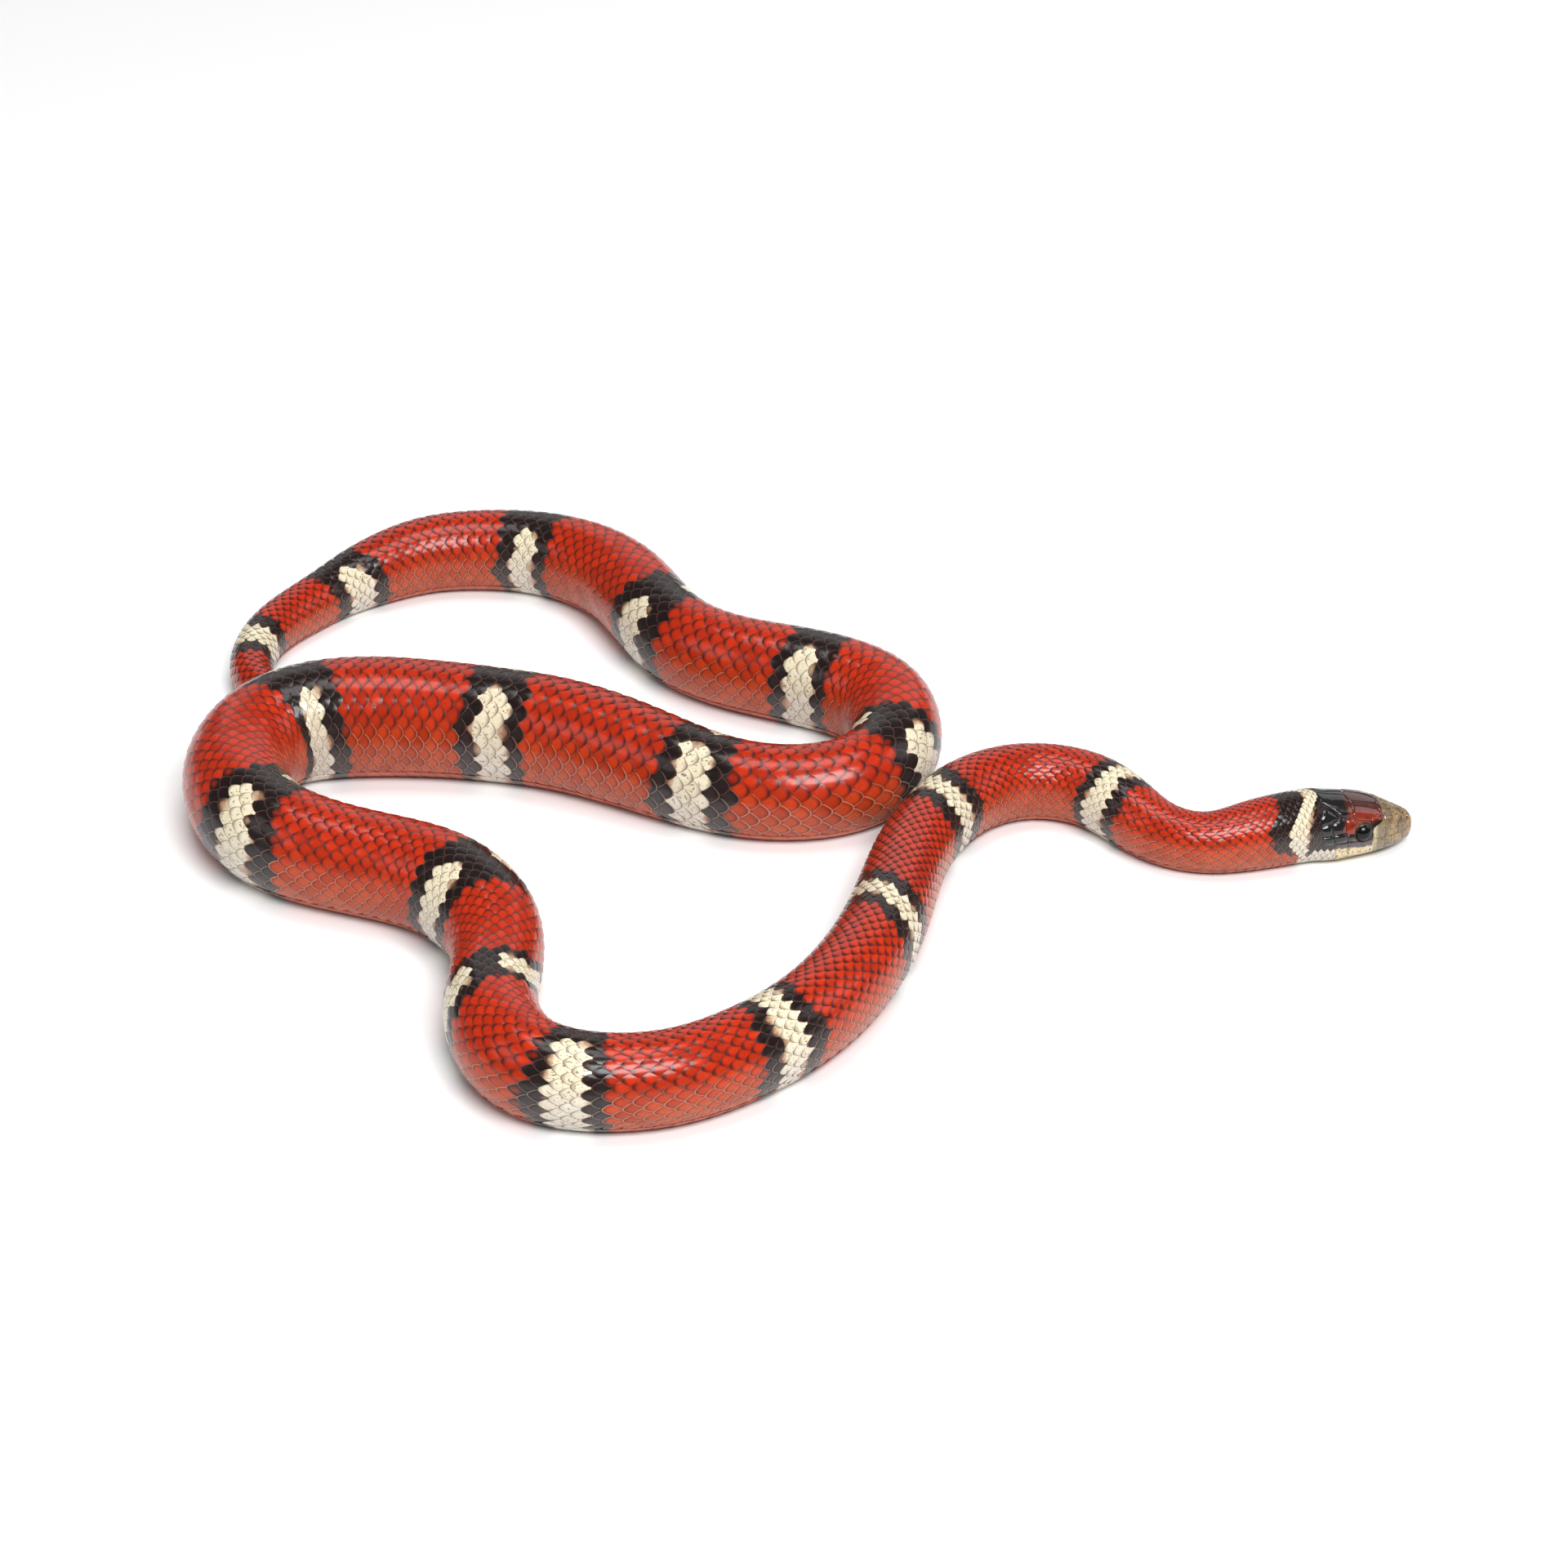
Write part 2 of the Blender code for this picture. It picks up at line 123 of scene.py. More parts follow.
# The skin
# A snake's soft skin is one closed tube over muscle, from the snout to the tail, on a belly
# that the floor flattens a little. It lies a scale's depth inside the body's surface, and
# shows only in the thin seams between the scales.
FRAME_SHIFT = (-0.0029, 0.0172)
ROUTE = (
    (0.1498, -0.0238), (0.137, -0.0268), (0.124, -0.0300), (0.110, -0.0340),
    (0.100, -0.0355), (0.090, -0.0320), (0.081, -0.0225), (0.074, -0.0155),
    (0.066, -0.0120), (0.056, -0.0120), (0.046, -0.0170), (0.037, -0.0280),
    (0.030, -0.0440), (0.026, -0.0600), (0.022, -0.0760), (0.015, -0.0940),
    (0.002, -0.1130), (-0.011, -0.1240), (-0.023, -0.1305), (-0.036, -0.1330),
    (-0.046, -0.1322), (-0.0555, -0.1278), (-0.0622, -0.1180), (-0.0650, -0.1040),
    (-0.0645, -0.0900), (-0.0660, -0.0785), (-0.0718, -0.0675), (-0.0798, -0.0595),
    (-0.090, -0.0540), (-0.106, -0.0480), (-0.1205, -0.0395), (-0.1297, -0.0244),
    (-0.1301, -0.0068), (-0.1232, 0.0043), (-0.111, 0.0090), (-0.098, 0.0100),
    (-0.083, 0.0092), (-0.069, 0.0070), (-0.057, 0.0040), (-0.043, -0.0020),
    (-0.032, -0.0080), (-0.022, -0.0135), (-0.009, -0.0185), (0.004, -0.0195),
    (0.016, -0.0160), (0.0249, -0.0060), (0.0272, 0.0080), (0.0239, 0.0190),
    (0.015, 0.0270), (-0.003, 0.0355), (-0.013, 0.0400), (-0.026, 0.0505),
    (-0.0335, 0.0630), (-0.0435, 0.0815), (-0.0535, 0.0910), (-0.065, 0.0968),
    (-0.080, 0.0990), (-0.0945, 0.0970), (-0.106, 0.0912), (-0.116, 0.0835),
    (-0.1235, 0.0752), (-0.1322, 0.0625), (-0.1350, 0.0525), (-0.1346, 0.0430),
    (-0.1300, 0.0340), (-0.119, 0.0310), (-0.104, 0.0335), (-0.088, 0.0330),
    (-0.073, 0.0280), (-0.063, 0.0210),
)
TAIL_TIP = 0.9482
GIRTH = (
    (0.028, 0.0084), (0.042, 0.0079), (0.051, 0.0071), (0.061, 0.0072),
    (0.075, 0.0083), (0.095, 0.0088), (0.119, 0.0091), (0.149, 0.0093),
    (0.182, 0.0100), (0.217, 0.0102), (0.257, 0.0102), (0.277, 0.0106),
    (0.299, 0.0111), (0.315, 0.0107), (0.328, 0.0106), (0.342, 0.0117),
    (0.358, 0.0122), (0.378, 0.0120), (0.394, 0.0123), (0.412, 0.0129),
    (0.447, 0.0133), (0.475, 0.0141), (0.502, 0.0136), (0.527, 0.0132),
    (0.547, 0.0126), (0.567, 0.0116), (0.585, 0.0111), (0.602, 0.0111),
    (0.632, 0.0116), (0.657, 0.0119), (0.682, 0.0115), (0.707, 0.0113),
    (0.727, 0.0113), (0.752, 0.0109), (0.772, 0.0103), (0.797, 0.0096),
    (0.812, 0.0085), (0.827, 0.0070), (0.839, 0.0065), (0.857, 0.0059),
    (0.877, 0.0054), (0.897, 0.0048), (0.917, 0.0040), (0.934, 0.0029),
    (0.948, 0.0012),
)
BODY_TALL = 1.08
BODY_SINK = 0.88
# Head: distance from the snout, half width, crown height, height of the widest line,
# height of the mouth line, height of the chin, squareness of the crown
HEAD_RINGS = (
    (0.0000, 0.0011, 0.0066, 0.0053, 0.0040, 0.0033, 2.0),
    (0.0006, 0.0022, 0.0076, 0.0051, 0.0037, 0.0025, 2.1),
    (0.0018, 0.0033, 0.0087, 0.0048, 0.0035, 0.0019, 2.2),
    (0.0040, 0.0046, 0.0099, 0.0048, 0.0034, 0.0015, 2.3),
    (0.0070, 0.0059, 0.0116, 0.0050, 0.0033, 0.0012, 2.4),
    (0.0100, 0.0069, 0.0130, 0.0055, 0.0034, 0.0010, 2.4),
    (0.0135, 0.0077, 0.0142, 0.0061, 0.0036, 0.0008, 2.3),
    (0.0170, 0.0082, 0.0150, 0.0066, 0.0039, 0.0006, 2.2),
    (0.0205, 0.0085, 0.0157, 0.0071, 0.0042, 0.0003, 2.1),
    (0.0240, 0.0086, 0.0164, 0.0075, 0.0046, 0.0000, 2.05),
    (0.0280, 0.0084, 0.0170, 0.0080, 0.0050, 0.0000, 2.0),
)
ROUTE_SAMPLES = 3000        # places along the route for measuring it
AIM_STEP = 0.0005           # half the length that gives the route's direction at a place
SLOPE_STEP = 0.0002         # the same for the surface's slope, along it and round it
SLOPE_TURN = 0.01
TIP_GAP = 0.00002           # nearest to the snout's end that a slope is measured
HEAD_END = 0.028
HEAD_BLEND = 0.021          # where the head's form starts to turn into the body's
HEAD_LIFT = ((0, 0.0135, 0.0170, 0.0205, 0.0240), (0.0008, 0.0008, 0.0007, 0.0005, 0))
CHIN_FLAT = 0.40
CHEEK_CLOSING = 0.0012      # how far under the chin the curve of the cheek would close
CHEEK_CHIN = 0.5            # how much of the chin's height that curve follows
CHEEK_TURN = math.radians(110)      # where the mouth line runs
JAW_TURN = math.radians(150)        # where the flat of the chin starts


def spline(knots, values):
    """A smooth curve through the values: a natural cubic spline, for an array of places."""
    knots = np.asarray(knots, float)
    values = np.asarray(values, float)
    gaps = np.diff(knots)
    count = len(knots)
    matrix = np.eye(count)
    right = np.zeros_like(values)
    for i in range(1, count - 1):
        matrix[i, i - 1:i + 2] = gaps[i - 1], 2 * (gaps[i - 1] + gaps[i]), gaps[i]
        after = (values[i + 1] - values[i]) / gaps[i]
        before = (values[i] - values[i - 1]) / gaps[i - 1]
        right[i] = 6 * (after - before)
    bends = np.linalg.solve(matrix, right)

    def at(where):
        where = np.asarray(where, float)
        i = np.clip(np.searchsorted(knots, where) - 1, 0, count - 2)
        gap = gaps[i]
        low = (knots[i + 1] - where) / gap
        if values.ndim > 1:
            low = low[..., None]
            gap = gap[..., None]
        high = 1 - low
        bend = (low ** 3 - low) * bends[i] + (high ** 3 - high) * bends[i + 1]
        return low * values[i] + high * values[i + 1] + bend * gap ** 2 / 6

    return at


def by_arc_length(points):
    """The route as a function of true distance along it."""
    points = np.asarray(points, float)
    chords = np.concatenate([[0], np.cumsum(np.hypot(*np.diff(points, axis=0).T))])
    curve = spline(chords, points)
    fine = np.linspace(0, chords[-1], ROUTE_SAMPLES)
    places = curve(fine)
    arc = np.concatenate([[0], np.cumsum(np.hypot(*np.diff(places, axis=0).T))])
    return lambda distance: curve(np.interp(distance, arc, fine))


place_at = by_arc_length(np.array(ROUTE) + FRAME_SHIFT)
half_width_at = spline(*np.array(GIRTH).T)
head_ring_at = spline(np.array(HEAD_RINGS)[:, 0], np.array(HEAD_RINGS)[:, 1:])


def head_lift(distance):
    """How high the head is held off the floor. The drawings of its sides start from there."""
    return np.interp(distance, *HEAD_LIFT)


def smooth_step(low, high, value):
    x = np.clip((value - low) / (high - low), 0, 1)
    return x * x * (3 - 2 * x)


def within_turn(turn):
    """The same turn, from half a turn left to half a turn right."""
    return np.remainder(turn + math.pi, 2 * math.pi) - math.pi


def body_section(distance, turn):
    """Offset to the right and height of the body's surface."""
    half = half_width_at(np.clip(distance, GIRTH[0][0], GIRTH[-1][0]))
    height = half * BODY_TALL * (BODY_SINK + np.cos(turn))
    return half * np.sin(turn), np.maximum(height, 0)


def head_section(distance, turn):
    """Offset to the right and height of the head's surface."""
    ring = head_ring_at(np.clip(distance, 0, HEAD_END))
    half, crown, widest, mouth, chin, square = np.moveaxis(ring, -1, 0)
    chin = np.maximum(chin, 0)
    round_by = np.abs(turn)
    top = np.minimum(round_by, math.pi / 2)
    crown_side = half * np.sin(top) ** (2 / square)
    crown_height = widest + (crown - widest) * np.cos(top) ** (2 / square)
    cheek = np.clip((round_by - math.pi / 2) / (CHEEK_TURN - math.pi / 2), 0, 1)
    cheek_height = widest + (mouth - widest) * cheek
    drop = (widest - cheek_height) / (widest - chin * CHEEK_CHIN + CHEEK_CLOSING)
    cheek_side = half * np.sqrt(np.maximum(1 - drop ** 2, 0))
    jaw = np.clip((round_by - CHEEK_TURN) / (JAW_TURN - CHEEK_TURN), 0, 1) * math.pi / 2
    flat = CHIN_FLAT * half
    jaw_side = flat + (cheek_side - flat) * np.cos(jaw)
    jaw_height = mouth - (mouth - chin) * np.sin(jaw)
    under = np.clip((math.pi - round_by) / (math.pi - JAW_TURN), 0, 1)
    side = np.select(
        [round_by <= math.pi / 2, round_by <= CHEEK_TURN, round_by <= JAW_TURN],
        [crown_side, cheek_side, jaw_side], flat * under)
    height = np.select(
        [round_by <= math.pi / 2, round_by <= CHEEK_TURN],
        [crown_height, cheek_height], jaw_height)
    return np.sign(turn) * side, height


def surface_at(distance, turn):
    """Points on the bare form."""
    distance = np.asarray(distance, float)
    turn = within_turn(np.asarray(turn, float))
    head_side, head_height = head_section(distance, turn)
    body_side, body_height = body_section(distance, turn)
    body = smooth_step(HEAD_BLEND, HEAD_END, distance)
    side = head_side * (1 - body) + body_side * body
    height = head_height * (1 - body) + body_height * body
    ahead = place_at(np.maximum(distance - AIM_STEP, 0)) - place_at(distance + AIM_STEP)
    ahead = ahead / np.linalg.norm(ahead, axis=-1, keepdims=True)
    spot = place_at(distance)
    x = spot[..., 0] + ahead[..., 1] * side
    y = spot[..., 1] - ahead[..., 0] * side
    return np.stack([x, y, height], -1)


def lay(distance, turn, over):
    """Points at a height over the bare form, square to it."""
    near = np.maximum(distance - SLOPE_STEP, TIP_GAP)
    along = surface_at(near + 2 * SLOPE_STEP, turn) - surface_at(near, turn)
    across = surface_at(distance, turn + SLOPE_TURN) - surface_at(distance, turn - SLOPE_TURN)
    out = np.cross(along, across)
    out = out / np.maximum(np.linalg.norm(out, axis=-1, keepdims=True), 1e-12)
    return surface_at(distance, turn) + out * np.asarray(over)[..., None]


# Rings: distance of the middle from the snout, half width of the cream, half width with the
# black, slant to the right side, and the degrees left and right that black closes the back
RINGS = (
    (0.0768, 0.0022, 0.0060, 0.0008, 0, 0), (0.1298, 0.0026, 0.0071, 0.0024, 0, 0),
    (0.1778, 0.0028, 0.0070, 0.0060, 0, 0), (0.2288, 0.0029, 0.0067, 0.0012, 0, 0),
    (0.2748, 0.0032, 0.0063, 0.0006, 38, 2), (0.3120, 0.0032, 0.0061, -0.0060, 12, 20),
    (0.3505, 0.0040, 0.0084, 0.0005, 30, 17), (0.4098, 0.0033, 0.0079, -0.0012, 30, 12),
    (0.4625, 0.0037, 0.0082, -0.0024, 25, 25), (0.5134, 0.0036, 0.0073, 0.0002, 21, 24),
    (0.5683, 0.0033, 0.0075, 0.0, 12, 20), (0.6182, 0.0033, 0.0068, 0.0, 33, 28),
    (0.6634, 0.0037, 0.0071, 0.0, 25, 23), (0.7108, 0.0035, 0.0079, 0.0, 30, 27),
    (0.7666, 0.0035, 0.0075, 0.0, 25, 27), (0.8228, 0.0037, 0.0071, -0.0036, 25, 22),
    (0.8578, 0.0035, 0.0075, 0.0012, 0, 0), (0.8905, 0.0031, 0.0065, 0.0, 20, 20),
    (0.9170, 0.0026, 0.0054, 0.0, 20, 20), (0.9385, 0.0018, 0.0039, 0.0, 18, 18),
)
SIDE_TURN = 70              # degrees from the back where a ring has its full width
CREAM_WIDENING = ((0.08, 0.14), (0.60, 0.10))       # how much wider than on the back
BLACK_WIDENING = 0.22
SLANT_TURN = 90             # degrees over which a ring leans by its slant
SLANT_END = 100             # and where the lean ends
CLOSING = 12                # degrees over which the cream rounds off under the black back
CLOSING_POWER = 0.35        # the smaller, the blunter its end
WAVER = 0.00045             # how far a ring's edges wander to and fro down the side
WAVER_TURN = 13             # degrees of a wave, over 2 pi
CLOSED = 0.003              # how far outside the cream the closed back counts
# Painted light: over these degrees the colours turn to their copies lit from the pale floor.
FLOOR_LIGHT_TURN = (45, 115)        # degrees from the back over which the colours turn to the low ones
CREAM_BLUR = 0.00025        # width over which a marking's edge fades
BLACK_BLUR = 0.0012
# The head: edges as distances from the snout, each at some degrees round from the back or at
# some heights over the floor, and heights at some distances
COLLAR_FRONT = ((0, 30, 60, 95), (0.0242, 0.0262, 0.0288, 0.0290))
COLLAR_BACK = ((0, 30, 60, 85, 100, 112, 150),
               (0.0280, 0.0299, 0.0332, 0.0342, 0.0333, 0.0314, 0.0305))
COLLAR_END = ((0, 30, 60, 85, 100, 112, 140),
              (0.0342, 0.0362, 0.0386, 0.0380, 0.0355, 0.0316, 0.0300))
THROAT_TURN = 112           # degrees from the back beyond which the throat is all cream
SNOUT_EDGE = ((0.0060, 0.0085, 0.0092, 0.0100, 0.0115, 0.0130),
              (0.0122, 0.0121, 0.0097, 0.0090, 0.0090, 0.0094))
LIP_EDGE = ((0.010, 0.0125, 0.017, 0.022, 0.026), (0.0054, 0.0038, 0.0045, 0.0053, 0.0053))
RED_START = 0.0085
RED_END = ((0.0095, 0.0112, 0.0125), (0.0205, 0.0194, 0.0184))
RED_FOOT = ((0.012, 0.014, 0.017, 0.0195), (0.0098, 0.0098, 0.0080, 0.0087))
GREY_TOP = 0.0072


def ring_markings(distance, turn):
    """Signed distances inside the cream and inside the black rings."""
    degrees = np.degrees(turn)
    low = np.minimum(np.abs(degrees) / SIDE_TURN, 1)
    lean = np.clip(degrees, -SLANT_END, SLANT_END) / SLANT_TURN
    cream = np.full(np.shape(degrees), -1.0)
    black = np.full(np.shape(degrees), -1.0)
    for middle, half, outer, slant, left, right in RINGS:
        wander = WAVER * np.sin(degrees / WAVER_TURN + middle / WAVER)
        off = np.abs(distance - middle - slant * lean - wander)
        width = half * (1 + np.interp(middle, *CREAM_WIDENING) * low)
        if left or right:
            beyond = np.where(degrees > 0, degrees - right, -degrees - left)
            width = width * np.clip(beyond / CLOSING, 0, 1) ** CLOSING_POWER - (beyond < 0) * CLOSED
        cream = np.maximum(cream, width - off)
        black = np.maximum(black, outer * (1 + BLACK_WIDENING * low) - off)
    return cream, black


def head_fields(distance, height):
    """Signed distances inside the cream, the red and the grey of the head."""
    height = height - head_lift(distance)
    snout = np.interp(height, *SNOUT_EDGE) - distance
    cream = np.maximum(snout, np.interp(distance, *LIP_EDGE) - height)
    red = np.minimum(distance - RED_START, np.interp(height, *RED_END) - distance)
    red = np.minimum(red, height - np.interp(distance, *RED_FOOT))
    return cream, red, GREY_TOP - height


def head_markings(distance, turn):
    """Signed distances inside the cream and the black of the head and its collar."""
    degrees = np.abs(np.degrees(turn))
    front = np.where(degrees > THROAT_TURN, 0, np.interp(degrees, *COLLAR_FRONT))
    collar = np.minimum(distance - front, np.interp(degrees, *COLLAR_BACK) - distance)
    light, red, _ = head_fields(distance, head_section(distance, turn)[1])
    cream = np.maximum(collar, np.minimum(light, HEAD_END - distance))
    return cream, np.minimum(np.interp(degrees, *COLLAR_END) - distance, -red)


def markings(distance, turn):
    """Cream, black and how low on the side, each from 0 to 1."""
    turn = within_turn(turn)
    ring_cream, ring_black = ring_markings(distance, turn)
    head_cream, head_black = head_markings(distance, turn)
    cream = np.maximum(ring_cream, head_cream)
    black = np.maximum(ring_black, head_black)
    return np.stack([
        np.clip(cream / CREAM_BLUR + 0.5, 0, 1),
        np.clip(black / BLACK_BLUR + 0.5, 0, 1),
        smooth_step(*FLOOR_LIGHT_TURN, np.abs(np.degrees(turn))),
    ], -1)


# The unwrap for baking lays the skin out in strips, head to tail
STRIPS = 4
STRIP_END = 0.01            # margin left at each end of a strip, and along its sides
STRIP_SIDE = 0.02
STRIP_LAST = 1 - 1e-4       # keeps the tail's tip in the last strip


def skin_map(distance, turn, strip=None):
    """Place on the unwrap for a place on the skin, in its own strip or a given one."""
    along = np.clip(distance / TAIL_TIP, 0, STRIP_LAST) * STRIPS
    if strip is None:
        strip = np.floor(along)
    round_by = turn / (2 * math.pi) + 0.5
    reach = STRIP_END + (1 - 2 * STRIP_END) * (along - strip)
    return np.stack([reach, (strip + STRIP_SIDE + (1 - 2 * STRIP_SIDE) * round_by) / STRIPS], -1)


# The rings' colours on the back; low on the side and on the belly, red and black painted lighter
# and pinker as light from the pale floor, and cream a little greyer
RED = (0.50, 0.026, 0.003)
FLOOR_LIT_RED = (0.49, 0.085, 0.029)
# A darker red that some scales lean to at random, and that paints the shade at each scale's edge.
DARK_RED_AND_EDGE_SHADE = (0.20, 0.009, 0.002)
CREAM = (0.74, 0.67, 0.49)
LOW_CREAM = (0.68, 0.63, 0.56)
BLACK = (0.010, 0.005, 0.004)
FLOOR_LIT_BLACK = (0.062, 0.050, 0.049)
CREAM_TAN = (0.62, 0.52, 0.34)
FRINGE = (0.50, 0.15, 0.025)        # orange brown where a cream ring meets the black
FRINGE_STRENGTH = 1.6
WORN = (0.62, 0.55, 0.5)
# Fades: where each starts and ends, then how strong it is at the start and the end
RED_SPREAD = (0, 1, 0, 0.4)         # from scale to scale, towards the edge's red
CREAM_SPREAD = (0, 1, 0, 0.25)
MOTTLE_FADE = (0.35, 0.75, 0, 0.3)
# Noises: scale and detail
MOTTLE = (900, 3)
FINE_PORES = (2600, 4)
BROAD_PORES = (500, 2)
FINE_SHARE = 0.4


def new_group(name, inputs, outputs):
    group = bpy.data.node_groups.new(name, "ShaderNodeTree")
    for label, kind, value in inputs:
        socket = group.interface.new_socket(label, in_out="INPUT", socket_type=kind)
        socket.default_value = value
    for label, kind in outputs:
        group.interface.new_socket(label, in_out="OUTPUT", socket_type=kind)
    given = group.nodes.new("NodeGroupInput").outputs
    return group, given, group.nodes.new("NodeGroupOutput").inputs


def feed(tree, socket, value):
    """Sets a socket, or links it when the value comes from another node."""
    if isinstance(value, bpy.types.NodeSocket):
        tree.links.new(value, socket)
    elif isinstance(value, tuple):
        socket.default_value = (*value, 1)[:len(socket.default_value)]
    else:
        socket.default_value = value


def mix(tree, factor, first, second, blend="MIX"):
    node = tree.nodes.new("ShaderNodeMix")
    node.data_type = "RGBA"
    node.blend_type = blend
    feed(tree, node.inputs["Factor"], factor)
    feed(tree, node.inputs[6], first)
    feed(tree, node.inputs[7], second)
    return node.outputs[2]


def calc(tree, kind, first, second=0.0, clamp=False):
    node = tree.nodes.new("ShaderNodeMath")
    node.operation = kind
    node.use_clamp = clamp
    feed(tree, node.inputs[0], first)
    feed(tree, node.inputs[1], second)
    return node.outputs[0]


def product(tree, first, *others):
    for other in others:
        first = calc(tree, "MULTIPLY", first, other)
    return first


def rest(tree, value):
    """What is left of 1."""
    return calc(tree, "SUBTRACT", 1.0, value)


def centred(tree, value):
    """A value from 0 to 1, moved to lie about 0."""
    return calc(tree, "SUBTRACT", value, 0.5)


def ramp(tree, value, low, high, start=0.0, end=1.0):
    """Maps a value smoothly from one range to another."""
    node = tree.nodes.new("ShaderNodeMapRange")
    node.interpolation_type = "SMOOTHSTEP"
    feed(tree, node.inputs["Value"], value)
    for label, number in zip(("From Min", "From Max", "To Min", "To Max"), (low, high, start, end)):
        feed(tree, node.inputs[label], number)
    return node.outputs["Result"]


def noise(tree, scale, detail=2.0, spot=None):
    node = tree.nodes.new("ShaderNodeTexNoise")
    node.inputs["Scale"].default_value = scale
    node.inputs["Detail"].default_value = detail
    if spot is None:
        spot = tree.nodes.new("ShaderNodeTexCoord").outputs["Object"]
    tree.links.new(spot, node.inputs["Vector"])
    return node.outputs["Fac"]


def attribute(tree, name):
    node = tree.nodes.new("ShaderNodeAttribute")
    node.attribute_name = name
    return node.outputs["Fac"]


def ring_colour_group():
    """Colour of the rings from the masks, with each scale a little off its neighbours, and painted
    light from the pale floor low on the side.
    """
    group, given, out = new_group(
        "ring_colour",
        (("Cream", "NodeSocketFloat", 0.0), ("Black", "NodeSocketFloat", 0.0),
         ("Low", "NodeSocketFloat", 0.0), ("Seed", "NodeSocketFloat", 0.5)),
        (("Colour", "NodeSocketColor"),))
    # Painted light: low on the side the red and black turn to lighter, pinker copies lit from the
    # pale floor.
    red = mix(group, given["Low"], RED, FLOOR_LIT_RED)
    red = mix(group, ramp(group, given["Seed"], *RED_SPREAD), red, DARK_RED_AND_EDGE_SHADE)
    cream = mix(group, given["Low"], CREAM, LOW_CREAM)
    cream = mix(group, ramp(group, given["Seed"], *CREAM_SPREAD), cream, CREAM_TAN)
    black = mix(group, given["Low"], BLACK, FLOOR_LIT_BLACK)
    colour = mix(group, given["Black"], red, black)
    colour = mix(group, given["Cream"], colour, cream)
    border = product(group, given["Cream"], rest(group, given["Cream"]), FRINGE_STRENGTH)
    colour = mix(group, border, colour, FRINGE)
    mottle = ramp(group, noise(group, *MOTTLE), *MOTTLE_FADE)
    worn = mix(group, 1.0, colour, WORN, "MULTIPLY")
    group.links.new(mix(group, mottle, colour, worn), out["Colour"])
    return group


def fine_grain_group():
    """Height of the faint pores and scratches of dry horn."""
    group, given, out = new_group(
        "fine_grain", (("Size", "NodeSocketFloat", 1.0),), (("Height", "NodeSocketFloat"),))
    fine = product(group, noise(group, *FINE_PORES), FINE_SHARE)
    total = calc(group, "ADD", fine, noise(group, *BROAD_PORES))
    group.links.new(product(group, total, given["Size"]), out["Height"])
    return group


ring_colour = ring_colour_group()
fine_grain = fine_grain_group()


def use_group(tree, group, **values):
    node = tree.nodes.new("ShaderNodeGroup")
    node.node_tree = group
    for label, value in values.items():
        feed(tree, node.inputs[label], value)
    return node.outputs


def bump(tree, shader, height, distance):
    node = tree.nodes.new("ShaderNodeBump")
    node.inputs["Distance"].default_value = distance
    tree.links.new(height, node.inputs["Height"])
    tree.links.new(node.outputs["Normal"], shader.inputs["Normal"])


SKIN_DEPTH = 0.00042
SKIN_GAP = 0.0002           # lowest that the skin reaches over the floor
SKIN_END = 0.9478
SKIN_ROUGHNESS = 0.55
SKIN_SEED = 0.3
SKIN_BUMP = 0.0001
HEAD_STATIONS = 90
BODY_STATIONS = 540
SKIN_ROUND = 72
MERGE = 1e-6                # doubled corners nearer than this become one
# The seams' colours: painted light from the floor low on the sides, and painted shade on the back
FLOOR_LIT_SEAM_TONE = (0.42, 0.23, 0.18)      # pale pink: painted light from the floor on the seams low on the sides
PAINTED_SEAM_SHADE = (0.05, 0.012, 0.008)
SHADE_STRENGTH = 0.7
BLACK_PALENESS = (0, 1, 0.6, 0.3)
PALENESS_AND_FLOOR_LIGHT = (0.1, 0.6, 0.15, 1.0)
EYE_BACK = 0.0147           # distance from the snout
EYE_ANGLE = math.radians(76)        # how far its axis leans from upright
EYE_RADIUS = 0.0025
EYE_PROUD = 0.0008          # how far it stands out of the cheek
SOCKET_RADIUS = 0.0023
SOCKET_DEPTH = 0.0009


def eye_place(side):
    """Centre of an eyeball and its outward axis: side is 1 for the right eye, -1 for the left."""
    ahead = place_at(EYE_BACK - AIM_STEP) - place_at(EYE_BACK + AIM_STEP)
    ahead = ahead / np.linalg.norm(ahead)
    right = np.array([ahead[1], -ahead[0], 0])
    axis = side * math.sin(EYE_ANGLE) * right + np.array([0, 0, math.cos(EYE_ANGLE)])
    rim_side, rim_height = head_section(np.array(EYE_BACK), np.array(EYE_ANGLE))
    rim = np.array([*place_at(EYE_BACK), rim_height]) + side * rim_side * right
    return rim - (EYE_RADIUS - EYE_PROUD) * axis, axis


def around_eye(points, centre, axis):
    """Distance from an eye's axis, and distance along it."""
    height = (points - centre) @ axis
    return np.linalg.norm(points - centre - height[..., None] * axis, axis=-1), height


EYES = {"eye_right": eye_place(1), "eye_left": eye_place(-1)}


def new_object(name, mesh, material, slot, *nodes):
    """Adds a finished piece: its material, what it rides on and the nodes it stands for."""
    piece = bpy.data.objects.new(name, mesh)
    bpy.context.scene.collection.objects.link(piece)
    mesh.materials.append(material)
    mesh.shade_smooth()
    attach(piece, "root")
    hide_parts(*nodes)


